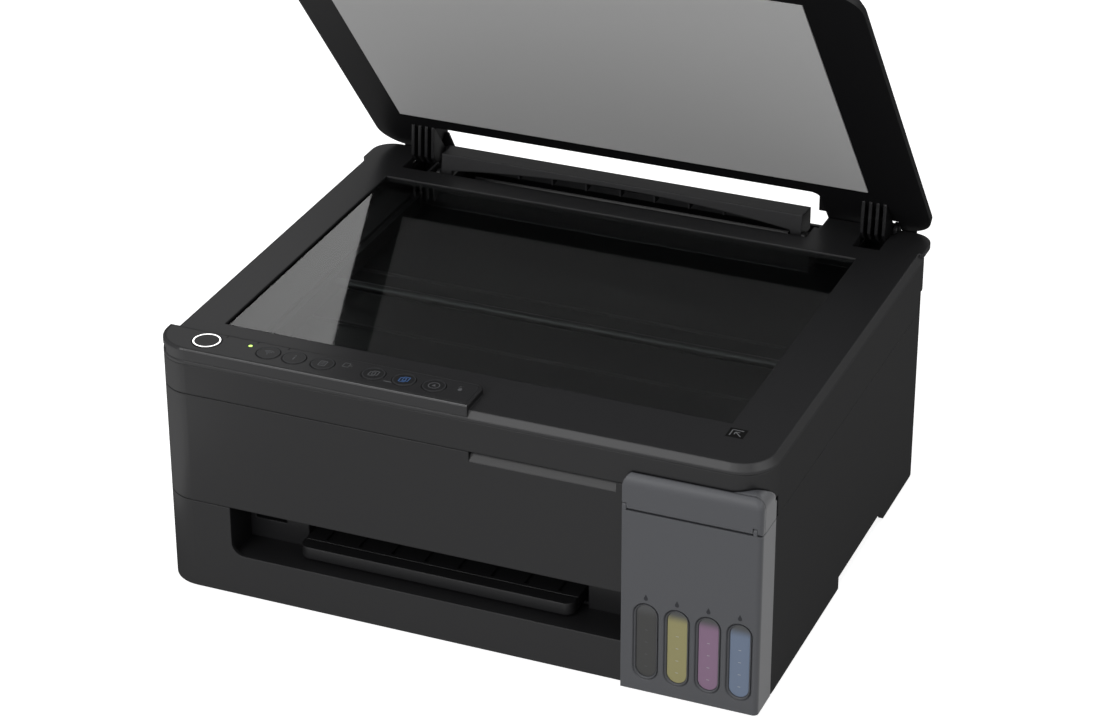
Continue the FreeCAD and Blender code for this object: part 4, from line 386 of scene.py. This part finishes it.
# Blackened steel is dark with a thin light line along its length.
BLACK_STEEL = Moulded("blackened steel", "#2b2c2d", 0.4, metallic=1.0)
# Solder mask makes the board a smooth green.
EPOXY_BOARD = Moulded("green epoxy board", "#1f5a36", 0.4, 0.4)
# Pressed fibres give a rough face with no shine.
FELT = Moulded("pressed felt", "#cfcdc6", 0.95, 0.1, grain_mm=1.5, grain_depth=0.6)
# Lamps behind the ring and the icon: the ring is plain white, the icon a dim blue.
POWER_GLOW = Glowing("lit white ring", WHITE, 1.0)
BLUE_PRINT = Glowing("lit blue icon", "#294f80", 0.08)
# The pane is clear to look down through, with a slightly soft mirror image towards a slant.
BED_GLASS = FloatGlass("float glass", "#e3e5e4", 1.28, 0.05)
# Frosted walls soften the inks to pastel, with a hazy level at the top.
# Above the level the clear plastic is painted dark grey: partly the empty tank behind it, partly painted
# shade from each window's rim.
TANK_PP = InkFilledTank("frosted polypropylene with ink", ("#1f1f1e", "#77724c", "#6a5268", "#535f72"),
                        "#333435", (129.9, 148.4, 166.8), (50.0, 57.0))
# One small lens is lit yellow-green, and the others stay as dark as the strip.
LENSES = LampStrip("clear lamp lenses", "#a6e04a", "#1a1a1b", -100.0, 1.2)


class Plane(Enum):
    """Which way a printed mark faces."""

    TOP = "up, with u to the right and v to the rear"
    FRONT = "to the front, with u to the right and v up"

    def point(self, u: float, v: float, lift: float) -> Vector:
        """A place on the plane, lifted off it.

        Args:
            u: Millimetres to the right.
            v: Millimetres along the plane's other way.
            lift: Height of the face in millimetres, along its normal's axis.

        Returns:
            The place in metres.
        """
        if self is Plane.TOP:
            return Vector((mm(u), mm(v), mm(lift)))
        return Vector((mm(u), mm(-lift), mm(v)))


class Shapes:
    """Flat outlines in millimetres, each a list of convex polygons that run anticlockwise."""

    @staticmethod
    def bar(u0: float, v0: float, u1: float, v1: float, wide: float) -> list[Polygon]:
        """A straight stroke between two places.

        Args:
            u0: First place across.
            v0: First place along.
            u1: Last place across.
            v1: Last place along.
            wide: Width of the stroke.

        Returns:
            The stroke's one polygon.
        """
        run = Vector((u1 - u0, v1 - v0))
        side = Vector((-run.y, run.x)).normalized() * wide / 2
        return [[(u0 - side.x, v0 - side.y), (u1 - side.x, v1 - side.y), (u1 + side.x, v1 + side.y),
                 (u0 + side.x, v0 + side.y)]]

    @staticmethod
    def disc(u: float, v: float, radius: float, sides: int = 24) -> list[Polygon]:
        """A filled circle."""
        turns = [2 * math.pi * i / sides for i in range(sides)]
        return [[(u + radius * math.cos(a), v + radius * math.sin(a)) for a in turns]]

    @staticmethod
    def arc(u: float, v: float, radius: float, wide: float, start: float = 0.0, end: float = 360.0,
            sides: int = 32) -> list[Polygon]:
        """A bent stroke between two angles in degrees.

        Args:
            u: Centre across.
            v: Centre along.
            radius: Middle radius of the stroke.
            wide: Width of the stroke.
            start: First angle.
            end: Last angle.
            sides: Number of straight pieces.

        Returns:
            The stroke's polygons.
        """
        inner, outer = radius - wide / 2, radius + wide / 2
        angles = [math.radians(start + (end - start) * i / sides) for i in range(sides + 1)]
        strip = []
        for a, b in zip(angles, angles[1:]):
            strip.append([(u + inner * math.cos(a), v + inner * math.sin(a)),
                          (u + outer * math.cos(a), v + outer * math.sin(a)),
                          (u + outer * math.cos(b), v + outer * math.sin(b)),
                          (u + inner * math.cos(b), v + inner * math.sin(b))])
        return strip

    @staticmethod
    def frame(u: float, v: float, wide: float, tall: float, line: float) -> list[Polygon]:
        """The outline of a rectangle round a centre.

        Args:
            u: Centre across.
            v: Centre along.
            wide: Width between the lines' middles.
            tall: Height between the lines' middles.
            line: Width of the lines.

        Returns:
            One polygon for each side.
        """
        a, b = wide / 2, tall / 2
        corners = [(u - a, v - b), (u + a, v - b), (u + a, v + b), (u - a, v + b)]
        ends = zip(corners, corners[1:] + corners[:1])
        return [part for (u0, v0), (u1, v1) in ends for part in Shapes.bar(u0, v0, u1, v1, line)]

    @staticmethod
    def stadium(u: float, v: float, wide: float, tall: float, sides: int = 16) -> Polygon:
        """An upright slot with round ends.

        Args:
            u: Centre across.
            v: Centre along.
            wide: Width, which is also the ends' diameter.
            tall: Height over both ends.
            sides: Straight pieces in each end.

        Returns:
            The slot's outline.
        """
        radius, rise = wide / 2, (tall - wide) / 2
        turns = [math.pi * i / sides for i in range(sides + 1)]
        upper = [(u + radius * math.cos(a), v + rise + radius * math.sin(a)) for a in turns]
        return upper + [(2 * u - x, 2 * v - y) for x, y in upper]

    @staticmethod
    def drop(u: float, v: float, radius: float) -> list[Polygon]:
        """A liquid drop with its point up.

        Args:
            u: Centre of the belly across.
            v: Centre of the belly along.
            radius: Radius of the belly.

        Returns:
            The drop's one polygon.
        """
        first, last, step, point = 150, 390, 15, 2.3
        angles = [math.radians(a) for a in range(first, last + 1, step)]
        belly = [(u + radius * math.cos(a), v + radius * math.sin(a)) for a in angles]
        return [belly + [(u, v + point * radius)]]


def solid(name: str, points: list[Vector], faces: list[tuple[int, ...]], finish: Finish,
          body: str) -> bpy.types.Object:
    """Make a piece from its points and faces.

    Args:
        name: The piece's name.
        points: Corners in metres.
        faces: Corner numbers of each face, anticlockwise from outside.
        finish: The piece's finish.
        body: The body that carries it.

    Returns:
        The finished piece.
    """
    mesh = bpy.data.meshes.new(name)
    mesh.from_pydata(points, [], faces)
    mesh.validate()
    return place(bpy.data.objects.new(name, mesh), finish, body)


def emboss(name: str, polygons: list[Polygon], plane: Plane, level: float, finish: Finish, body: str,
           thick: float = 0.06) -> bpy.types.Object:
    """Make printed marks as thin plates on a face.

    Args:
        name: The piece's name.
        polygons: Convex outlines in millimetres.
        plane: The way the face looks.
        level: Where the face lies along its axis, in millimetres.
        finish: The mark's finish.
        body: The body that carries the face.
        thick: How far the marks stand off the face, in millimetres.

    Returns:
        The finished piece.
    """
    points: list[Vector] = []
    faces: list[tuple[int, ...]] = []
    for outline in polygons:
        first, count = len(points), len(outline)
        points += [plane.point(u, v, level) for u, v in outline]
        points += [plane.point(u, v, level + thick) for u, v in outline]
        low, high = range(first, first + count), range(first + count, first + 2 * count)
        faces += [tuple(reversed(low)), tuple(high)]
        for i in range(count):
            j = (i + 1) % count
            faces.append((low[i], low[j], high[j], high[i]))
    return solid(name, points, faces, finish, body)


def sloped_rim(name: str, slots: list[tuple[Polygon, Polygon]], levels: tuple[float, float],
               finish: Finish, body: str) -> bpy.types.Object:
    """Make sloped rims that lead from a front face down into slots.

    Args:
        name: The piece's name.
        slots: Outer and inner outline of each rim, in millimetres.
        levels: Where the outer and the inner edge lie in front of the origin, in millimetres.
        finish: The rims' finish.
        body: The body that carries them.

    Returns:
        The finished piece.
    """
    points: list[Vector] = []
    faces: list[tuple[int, ...]] = []
    front, back = levels
    for outer, inner in slots:
        first, count = len(points), len(outer)
        points += [Plane.FRONT.point(u, v, front) for u, v in outer]
        points += [Plane.FRONT.point(u, v, back) for u, v in inner]
        points += [Plane.FRONT.point(u, v, back) for u, v in outer]
        loops = [range(first + k * count, first + (k + 1) * count) for k in range(3)]
        for low, high in zip(loops, loops[1:] + loops[:1]):
            faces += [(low[i], low[i + 1 - count], high[i + 1 - count], high[i]) for i in range(count)]
    return solid(name, points, faces, finish, body)


def place(piece: bpy.types.Object, finish: Finish, body: str) -> bpy.types.Object:
    """Link a piece to the scene, give it its finish and let it ride on a body.

    Args:
        piece: The new object, in place.
        finish: Its finish.
        body: The body that carries it.

    Returns:
        The same object.
    """
    bpy.context.scene.collection.objects.link(piece)
    piece.data.materials.clear()
    piece.data.materials.append(finish.material())
    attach(piece, body)
    LOG.info("%s rides on %s", piece.name, body)
    return piece


@dataclass
class RowOfBlocks:
    """Equal small blocks in a straight row, made by instancing a block on the points of a line."""

    name: str
    count: int
    start_mm: tuple[float, float, float]
    step_mm: tuple[float, float, float]
    size_mm: tuple[float, float, float]

    def tree(self, finish: Finish) -> tuple[bpy.types.NodeTree, dict[str, str]]:
        """Build the node tree.

        Args:
            finish: The blocks' finish.

        Returns:
            The tree, and each input's identifier by name.
        """
        tree = bpy.data.node_groups.new(f"{self.name} row", "GeometryNodeTree")
        kinds = {"Count": "NodeSocketInt", "Start": "NodeSocketVector", "Step": "NodeSocketVector",
                 "Size": "NodeSocketVector"}
        keys = {name: tree.interface.new_socket(name, in_out="INPUT", socket_type=kind).identifier
                for name, kind in kinds.items()}
        tree.interface.new_socket("Geometry", in_out="OUTPUT", socket_type="NodeSocketGeometry")
        given = add(tree, "NodeGroupInput").outputs
        line = add(tree, "GeometryNodeMeshLine", {
            "Count": given["Count"], "Start Location": given["Start"], "Offset": given["Step"]},
            mode="OFFSET")
        block = add(tree, "GeometryNodeMeshCube", {"Size": given["Size"]})
        copies = add(tree, "GeometryNodeInstanceOnPoints", {
            "Points": line.outputs[0], "Instance": block.outputs[0]})
        real = add(tree, "GeometryNodeRealizeInstances", {0: copies.outputs[0]})
        dressed = add(tree, "GeometryNodeSetMaterial", {
            "Geometry": real.outputs[0], "Material": finish.material()})
        add(tree, "NodeGroupOutput", {0: dressed.outputs[0]})
        return tree, keys

    def build(self, finish: Finish, body: str) -> bpy.types.Object:
        """Make the row a plain mesh on its body.

        Args:
            finish: The blocks' finish.
            body: The body that carries them.

        Returns:
            The finished piece.
        """
        tree, keys = self.tree(finish)
        maker = bpy.data.objects.new(f"{self.name} maker", bpy.data.meshes.new(f"{self.name} maker"))
        bpy.context.scene.collection.objects.link(maker)
        modifier = maker.modifiers.new("row", "NODES")
        modifier.node_group = tree
        modifier[keys["Count"]] = self.count
        for key, triple in (("Start", self.start_mm), ("Step", self.step_mm), ("Size", self.size_mm)):
            modifier[keys[key]] = [mm(v) for v in triple]
        graph = bpy.context.evaluated_depsgraph_get()
        mesh = bpy.data.meshes.new_from_object(maker.evaluated_get(graph))
        bpy.data.objects.remove(maker)
        return place(bpy.data.objects.new(self.name, mesh), finish, body)


class SubAssembly:
    """A group of the frame's nodes that is dressed together."""

    finishes: dict[str, Finish] = {}

    def dress(self) -> None:
        """Give every node of the group its finish."""
        for name, finish in self.finishes.items():
            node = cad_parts[name]
            node.data.materials.clear()
            node.data.materials.append(finish.material())
            LOG.info("%s is %s", name, finish.name)

    def build(self) -> None:
        """Make the pieces that the frame doesn't have."""


@dataclass
class Case(SubAssembly):
    """The outer walls, the floor and the sockets."""

    finishes: dict[str, Finish] = field(default_factory=lambda: {
        "base_pan": BLACK_ABS, "main_case": BLACK_ABS, "front_panel": BLACK_ABS, "rear_cover": BLACK_ABS,
        "rubber_feet": BLACK_RUBBER, "case_screws": BRIGHT_STEEL, "power_inlet": WORKS_ABS,
        "usb_socket": BRIGHT_STEEL})


@dataclass
class TankUnit(SubAssembly):
    """The grey ink unit with its sight windows and marks."""

    finishes: dict[str, Finish] = field(default_factory=lambda: {
        "tank_housing": GREY_ABS, "tank_flap": GREY_ABS, "tank_shoulder": GREY_ABS, "ink_tanks": TANK_PP,
        "filler_stoppers": BLACK_RUBBER})
    first_mm: float = 120.7
    pitch_mm: float = 18.45
    mark_z_mm: float = 63.2
    mark_radius_mm: float = 1.25
    mark_thick_mm: float = 0.02
    scales: tuple[Finish, ...] = (GREY_PRINT, SCALE_PRINT, SCALE_PRINT, SCALE_PRINT)
    tick_count: int = 4
    tick_low_mm: float = 18.0
    tick_step_mm: float = 8.0
    tick_mm: tuple[float, float, float] = (1.6, 0.08, 0.35)
    window_mm: tuple[float, float] = (13.9, 48.9)
    window_z_mm: float = 34.8
    rim_mm: float = 1.2
    rim_sink_mm: float = 0.02
    rim_gap_mm: float = 0.03

    def build(self) -> None:
        """Slope each window's rim, print a drop above it and a level scale on its tank."""
        front = in_mm(-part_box("tank_housing")[0].y)
        sight = in_mm(-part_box("ink_tanks")[0].y)
        centres = [self.first_mm + i * self.pitch_mm for i in range(len(self.scales))]
        drops = [part for x in centres for part in Shapes.drop(x, self.mark_z_mm, self.mark_radius_mm)]
        emboss("ink_drop_marks", drops, Plane.FRONT, front, DARK_PRINT, "base", self.mark_thick_mm)
        wide, tall = self.window_mm
        inset = 2 * self.rim_mm
        slots = [(Shapes.stadium(x, self.window_z_mm, wide, tall),
                  Shapes.stadium(x, self.window_z_mm, wide - inset, tall - inset)) for x in centres]
        levels = (front - self.rim_sink_mm, sight + self.rim_gap_mm)
        sloped_rim("window_rims", slots, levels, GREY_ABS, "base")
        for number, (x, scale) in enumerate(zip(centres, self.scales), 1):
            RowOfBlocks(f"level_ticks_{number}", self.tick_count, (x, -sight, self.tick_low_mm),
                        (0.0, 0.0, self.tick_step_mm), self.tick_mm).build(scale, "base")


@dataclass
class PaperExit(SubAssembly):
    """The tray in front and what guides the sheets onto it."""

    finishes: dict[str, Finish] = field(default_factory=lambda: {
        "exit_guide": BLACK_ABS, "output_tray": BLACK_ABS, "tray_extension": BLACK_ABS})


@dataclass
class RearFeeder(SubAssembly):
    """The slope behind the scanner and its guard."""

    finishes: dict[str, Finish] = field(default_factory=lambda: {
        "rear_hopper": BLACK_ABS, "paper_support": BLACK_ABS, "edge_guide_left": BLACK_ABS,
        # The guard takes the lighter painted black, which makes up for the lid's shade on it.
        "edge_guide_right": BLACK_ABS, "feeder_guard": LIGHTENED_BLACK_ABS})


@dataclass
class PrintWorks(SubAssembly):
    """The mechanism inside."""

    finishes: dict[str, Finish] = field(default_factory=lambda: {
        "side_frames": GALVANISED, "carriage_rail": GALVANISED, "drive_motors": GALVANISED,
        "feed_roller": BRIGHT_STEEL, "eject_roller": BLACK_RUBBER, "pickup_roller": BLACK_RUBBER,
        "idler_gear": POM, "motor_pinion": POM, "drive_pulley": POM, "idler_pulley": POM,
        "encoder_strip": PALE_PRINT, "carriage_belt": BLACK_RUBBER, "platen": WORKS_ABS,
        "print_carriage": WORKS_ABS, "print_head": WORKS_ABS, "capping_station": WORKS_ABS,
        "waste_ink_pad": FELT, "main_board": EPOXY_BOARD, "power_supply": WORKS_ABS})


@dataclass
class ScannerBed(SubAssembly):
    """The lifting unit with the glass."""

    finishes: dict[str, Finish] = field(default_factory=lambda: {
        "scanner_tray": TRAY_ABS, "scanner_bezel": LIGHTENED_BLACK_ABS, "platen_glass": BED_GLASS,
        "scan_rod": BLACK_STEEL, "scan_carriage": HEAD_ABS, "image_sensor": HEAD_ABS})
    mark_mm: tuple[float, float] = (157.7, -134.3)
    field_mm: float = 10.4
    line_mm: float = 0.55
    thick_mm: float = 0.03
    reach_share: float = 0.62
    tip_share: float = 0.2
    glass_drop_mm: float = 1.5

    def build(self) -> None:
        """Print the corner mark beside the glass."""
        top = in_mm(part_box("platen_glass")[1].z) + self.glass_drop_mm
        u, v = self.mark_mm
        half, line = self.field_mm / 2, self.line_mm
        square = Shapes.bar(u - half, v, u + half, v, self.field_mm)
        emboss("corner_mark_field", square, Plane.TOP, top, BLACK_PRINT, "scanner_unit", self.thick_mm)
        reach, tip = self.reach_share * half, self.tip_share * half
        arrow = (Shapes.bar(u - reach, v - reach, u - reach, v + reach, line)
                 + Shapes.bar(u - reach, v + reach, u + reach, v + reach, line)
                 + Shapes.bar(u + reach, v - reach, u - tip, v + tip, line)
                 + Shapes.bar(u - tip, v + tip, u + reach / 2, v + tip, line)
                 + Shapes.bar(u - tip, v + tip, u - tip, v - reach / 2, line))
        emboss("corner_mark", arrow, Plane.TOP, top + self.thick_mm, MARK_PRINT, "scanner_unit",
               self.thick_mm)


@dataclass
class ControlStrip(SubAssembly):
    """The raised strip with its keys, lamps and printed signs."""

    finishes: dict[str, Finish] = field(default_factory=lambda: {
        "control_panel": LIGHTENED_BLACK_ABS, "status_lenses": LENSES, "power_button": KEY_ABS, "network_button": KEY_ABS,
        "info_button": KEY_ABS, "sheet_button": KEY_ABS, "mono_copy_button": KEY_ABS,
        "colour_copy_button": KEY_ABS, "stop_button": KEY_ABS})
    power_ring_mm: float = 7.75
    power_line_mm: float = 0.85
    power_sides: int = 48
    ring_mm: float = 6.3
    ring_line_mm: float = 0.35
    bold_mm: float = 0.7
    line_mm: float = 0.5
    fine_mm: float = 0.4
    dot_mm: float = 0.5
    dot_sides: int = 12
    page_mm: tuple[float, float] = (3.4, 4.4)
    page_sign_mm: tuple[float, float] = (-70.7, -150.6)
    drop_sign_mm: tuple[float, float, float] = (0.4, -153.0, 1.3)
    dash_sign_mm: tuple[float, ...] = (-43.5, -159.6, -38.5, -159.6, 0.8)
    edge_left_mm: float = -168.0
    edge_inset_mm: float = 1.7
    edge_low_mm: tuple[float, float] = (0.02, 0.84)
    edge_high_mm: tuple[float, float] = (0.56, 0.01)
    edge_core_mm: tuple[float, float] = (1.2, 1.2)
    tick_count: int = 3
    tick_start_mm: float = -30.6
    tick_step_mm: float = 19.7
    tick_mm: tuple[float, float, float] = (0.6, 2.2, 0.06)

    def centre(self, name: str) -> tuple[float, float, float]:
        """Middle of a key's top, in millimetres."""
        low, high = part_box(name)
        return in_mm((low.x + high.x) / 2), in_mm((low.y + high.y) / 2), in_mm(high.z)

    def build(self) -> None:
        """Draw each key's sign, its ring and the small signs beside the keys."""
        u, v, z = self.centre("power_button")
        ring = Shapes.arc(u, v, self.power_ring_mm, self.power_line_mm, sides=self.power_sides)
        emboss("power_ring", ring, Plane.TOP, z, POWER_GLOW, "power_button")
        for key, sign in (("network_button", self.network), ("info_button", self.info),
                          ("sheet_button", self.sheet), ("mono_copy_button", self.copy),
                          ("colour_copy_button", self.copy), ("stop_button", self.stop)):
            u, v, z = self.centre(key)
            ink = BLUE_PRINT if key == "colour_copy_button" else GREY_PRINT
            emboss(f"{key}_sign", sign(u, v), Plane.TOP, z, ink, key)
            ring = Shapes.arc(u, v, self.ring_mm, self.ring_line_mm)
            emboss(f"{key}_ring", ring, Plane.TOP, z, FAINT_PRINT, key)
        self.strip_signs()
        self.front_edge()

    def front_edge(self) -> None:
        """A narrow facet along the strip's front edge, which catches the light as a thin line."""
        left, right = self.edge_left_mm, in_mm(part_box("control_panel")[1].x) + self.edge_inset_mm
        front, top = in_mm(-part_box("scanner_bezel")[0].y), in_mm(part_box("scanner_bezel")[1].z)
        section = (self.edge_low_mm, self.edge_core_mm, self.edge_high_mm)
        points = [Plane.FRONT.point(x, top - down, front - back) for x in (left, right)
                  for back, down in section]
        faces = [(0, 1, 2), (5, 4, 3), (0, 3, 4, 1), (1, 4, 5, 2), (2, 5, 3, 0)]
        solid("strip_edge_facet", points, faces, EDGE_ABS, "scanner_unit")

    def strip_signs(self) -> None:
        """The signs and the page scale printed on the strip itself."""
        top = in_mm(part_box("control_panel")[1].z)
        signs = (Shapes.frame(*self.page_sign_mm, *self.page_mm, self.fine_mm)
                 + Shapes.drop(*self.drop_sign_mm) + Shapes.bar(*self.dash_sign_mm))
        emboss("strip_signs", signs, Plane.TOP, top, GREY_PRINT, "scanner_unit")
        back = in_mm(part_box("control_panel")[1].y) - self.tick_mm[1] / 2
        start = self.centre("network_button")[0] + self.tick_start_mm
        RowOfBlocks("page_scale_ticks", self.tick_count, (start, back, top),
                    (self.tick_step_mm, 0.0, 0.0), self.tick_mm).build(BLACK_PRINT, "scanner_unit")

    def network(self, u: float, v: float) -> list[Polygon]:
        """Bent waves over a dot.

        Args:
            u: Middle of the key across.
            v: Middle of the key along.

        Returns:
            The sign's polygons.
        """
        foot, radii, bend = v - 1.8, (1.6, 2.9, 4.2), (45, 135, 10)
        waves = [part for r in radii for part in Shapes.arc(u, foot, r, self.line_mm, *bend)]
        return waves + Shapes.disc(u, foot, self.dot_mm, self.dot_sides)

    def info(self, u: float, v: float) -> list[Polygon]:
        """A stroke under a dot."""
        foot, head, dot = v - 2.2, v + 0.8, v + 2.2
        return Shapes.bar(u, foot, u, head, self.bold_mm) + Shapes.disc(u, dot, self.dot_mm, self.dot_sides)

    def sheet(self, u: float, v: float) -> list[Polygon]:
        """A page with lines on it.

        Args:
            u: Middle of the key across.
            v: Middle of the key along.

        Returns:
            The sign's polygons.
        """
        half, rows, wide, tall = 1.1, (-1.0, 0.2, 1.4), 4.0, 5.2
        lines = [part for dv in rows for part in Shapes.bar(u - half, v + dv, u + half, v + dv, self.fine_mm)]
        return Shapes.frame(u, v, wide, tall, self.line_mm) + lines

    def copy(self, u: float, v: float) -> list[Polygon]:
        """Two pages, one behind the other.

        Args:
            u: Middle of the key across.
            v: Middle of the key along.

        Returns:
            The sign's polygons.
        """
        shifts = ((-0.8, -0.5), (0.9, 0.7))
        return [part for du, dv in shifts
                for part in Shapes.frame(u + du, v + dv, *self.page_mm, self.line_mm)]

    def stop(self, u: float, v: float) -> list[Polygon]:
        """A ring with a triangle in it.

        Args:
            u: Middle of the key across.
            v: Middle of the key along.

        Returns:
            The sign's polygons.
        """
        half, foot, tip, radius = 1.3, v - 0.9, v + 1.5, 3.2
        wedge = [[(u - half, foot), (u + half, foot), (u, tip)]]
        return Shapes.arc(u, v, radius, self.line_mm) + wedge


@dataclass
class Lid(SubAssembly):
    """The cover over the glass, with its pad and hinges."""

    finishes: dict[str, Finish] = field(default_factory=lambda: {
        "lid_shell": LINER_ABS, "lid_liner": LINER_ABS, "document_mat": PAD_SHEET, "lid_hinges": BLACK_ABS})
    lip_back_mm: float = 149.2
    lip_mm: float = 1.6
    lip_z_mm: tuple[float, float] = (152.6, 157.5)
    lip_spans_mm: tuple[tuple[float, float], ...] = ((-172.0, -161.2), (117.0, 140.4), (164.6, 174.0))
    gussets_mm: tuple[tuple[tuple[float, float], ...], ...] = (
        ((-146.0, 156.0), (-135.6, 156.0), (-141.0, 168.0), (-146.0, 168.0)),
        ((110.8, 158.6), (120.0, 158.6), (120.0, 174.0), (114.5, 174.0), (110.8, 170.0)))

    def build(self) -> None:
        """Hang lips under the lid's rear edge, beside its hinges, which close the gap to the bed."""
        low, high = self.lip_z_mm
        lips = [[(left, low), (right, low), (right, high), (left, high)] for left, right in self.lip_spans_mm]
        gussets = [list(outline) for outline in self.gussets_mm]
        emboss("lid_rear_lips", lips + gussets, Plane.FRONT, -self.lip_back_mm, LINER_ABS, "lid", self.lip_mm)


@dataclass(frozen=True)
class Lamp:
    """A square soft lamp that faces the printer, with its sizes in metres."""

    name: str
    spot: tuple[float, float, float]
    size: float
    watts: float
    mirrored: bool = False

    def build(self) -> None:
        """Hang the lamp."""
        light = bpy.data.lights.new(self.name, "AREA")
        light.size = self.size
        light.energy = self.watts
        lamp = bpy.data.objects.new(self.name, light)
        lamp.location = self.spot
        lamp.rotation_euler = (AIM - Vector(self.spot)).to_track_quat("-Z", "Y").to_euler()
        lamp.visible_glossy = self.mirrored
        bpy.context.scene.collection.objects.link(lamp)


@dataclass(frozen=True)
class Card:
    """A card that only glossy faces see, dark or bright, with its corners in metres."""

    name: str
    corners: tuple[tuple[float, float, float], ...]
    glow: float

    def build(self) -> None:
        """Stand the card."""
        mesh = bpy.data.meshes.new(self.name)
        mesh.from_pydata(self.corners, [], [tuple(range(len(self.corners)))])
        made = blank_material(self.name)
        light = add(made.node_tree, "ShaderNodeEmission", {"Color": colour(WHITE), "Strength": self.glow})
        add(made.node_tree, "ShaderNodeOutputMaterial", {"Surface": light.outputs[0]})
        mesh.materials.append(made)
        card = bpy.data.objects.new(self.name, mesh)
        card.visible_camera = card.visible_diffuse = card.visible_shadow = False
        bpy.context.scene.collection.objects.link(card)


AIM = Vector((0.0, 0.0, 0.12))
LAMPS = (Lamp("front fill", (0.0, -2.6, 0.3), 1.8, 46.0),
         Lamp("left key", (-0.75, -2.0, 1.45), 1.2, 24.0, mirrored=True),
         Lamp("top fill", (-0.1, -0.3, 2.4), 2.0, 30.0),
         Lamp("right fill", (1.8, -0.6, 1.4), 1.4, 6.0),
         Lamp("rear left box", (-0.87, 1.7, 1.27), 1.1, 5.6, mirrored=True))
# The dark card keeps the rear of the pane black. The bright ones draw soft lines: down the left corner,
# round the bed's right corner from the front and the right, and along its right edge from the rear.
CARDS = (
    Card("dark rear card", ((-0.54, 1.0, 0.6), (-0.15, 1.0, 0.6), (-0.15, 1.0, 0.95),
                            (-0.54, 1.0, 0.95)), 0.0),
    Card("bright left card", ((-0.55, -0.38, 0.004), (-0.26, -0.38, 0.004), (-0.26, 0.05, 0.004),
                              (-0.55, 0.05, 0.004)), 3.5),
    Card("bright right card", ((1.6, -1.3, 0.75), (1.6, 0.9, 0.75), (1.6, 0.9, 1.5),
                               (1.6, -1.3, 1.5)), 4.0),
    Card("bright front card", ((-0.1, -2.0, 1.2), (1.3, -1.5, 1.2), (1.3, -1.5, 1.75),
                               (-0.1, -2.0, 1.75)), 4.0),
    Card("bright rear card", ((0.5, 1.8, 0.55), (1.5, 1.4, 0.55), (1.5, 1.4, 1.0),
                              (0.5, 1.8, 1.0)), 4.0))


@dataclass
class Studio:
    """The pale floor, the soft lights and the camera."""

    floor_half: float = 20.0
    camera_place: tuple[float, float, float] = (0.671, -1.632, 1.042)
    azimuth: float = 22.34
    elevation: float = 28.13
    lens_mm: float = 108.39
    shift_pixels: tuple[float, float] = (-14.0, 7.0)
    picture_pixels: float = 1100.0
    sky_strength: float = 0.3
    sky_shown: float = 1.0
    floor_hex: str = "#b4b4b4"
    floor_glow: float = 0.865

    def build(self) -> None:
        """Set the whole stage."""
        bpy.context.scene.view_settings.view_transform = "Standard"
        self.floor()
        self.sky()
        for card in CARDS:
            card.build()
        for lamp in LAMPS:
            lamp.build()
        self.camera()

    def seen(self, tree: bpy.types.NodeTree) -> bpy.types.NodeSocket:
        """One where the eye, a mirror or a pane looks, and nought for the light itself.

        Args:
            tree: The tree that takes the nodes.

        Returns:
            The mask.
        """
        path = add(tree, "ShaderNodeLightPath").outputs
        first = add(tree, "ShaderNodeMath", {0: path["Is Camera Ray"], 1: path["Is Glossy Ray"]},
                    operation="MAXIMUM")
        return add(tree, "ShaderNodeMath", {0: first.outputs[0], 1: path["Is Transmission Ray"]},
                   operation="MAXIMUM").outputs[0]

    def floor(self) -> None:
        """A wide pale floor that shows white and keeps a soft shadow."""
        half = self.floor_half
        mesh = bpy.data.meshes.new("studio_floor")
        corners = [(-half, -half, 0), (half, -half, 0), (half, half, 0), (-half, half, 0)]
        mesh.from_pydata(corners, [], [(0, 1, 2, 3)])
        floor = bpy.data.objects.new("studio_floor", mesh)
        bpy.context.scene.collection.objects.link(floor)
        made = blank_material("studio paper")
        tree = made.node_tree
        paper = add(tree, "ShaderNodeBsdfDiffuse", {"Color": colour(self.floor_hex)})
        glow = add(tree, "ShaderNodeEmission", {"Color": colour(WHITE), "Strength": self.floor_glow})
        both = add(tree, "ShaderNodeAddShader", {0: paper.outputs[0], 1: glow.outputs[0]})
        mixed = add(tree, "ShaderNodeMixShader", {
            "Fac": self.seen(tree), 1: paper.outputs[0], 2: both.outputs[0]})
        add(tree, "ShaderNodeOutputMaterial", {"Surface": mixed.outputs[0]})
        mesh.materials.append(made)

    def sky(self) -> None:
        """An even sky that shows white and lights softly."""
        world = bpy.data.worlds.new("studio sky")
        bpy.context.scene.world = world
        world.use_nodes = True
        tree = world.node_tree
        tree.nodes.clear()
        light = add(tree, "ShaderNodeBackground", {"Color": colour(WHITE), "Strength": self.sky_strength})
        show = add(tree, "ShaderNodeBackground", {"Color": colour(WHITE), "Strength": self.sky_shown})
        mixed = add(tree, "ShaderNodeMixShader", {
            "Fac": self.seen(tree), 1: light.outputs[0], 2: show.outputs[0]})
        add(tree, "ShaderNodeOutputWorld", {"Surface": mixed.outputs[0]})

    def camera(self) -> None:
        """The camera at the photograph's place."""
        eye = bpy.data.cameras.new("eye")
        eye.lens = self.lens_mm
        eye.shift_x, eye.shift_y = [pixels / self.picture_pixels for pixels in self.shift_pixels]
        stand = bpy.data.objects.new("eye", eye)
        stand.location = self.camera_place
        stand.rotation_euler = (math.radians(90.0 - self.elevation), 0.0, math.radians(self.azimuth))
        bpy.context.scene.collection.objects.link(stand)
        bpy.context.scene.camera = stand


def main() -> None:
    """Dress every sub-assembly and set the stage."""
    logging.basicConfig(level=logging.INFO, format="%(name)s: %(message)s")
    for group in (Case(), TankUnit(), PaperExit(), RearFeeder(), PrintWorks(), ScannerBed(),
                  ControlStrip(), Lid()):
        group.dress()
        group.build()
    Studio().build()


if __name__ == "__main__":
    main()
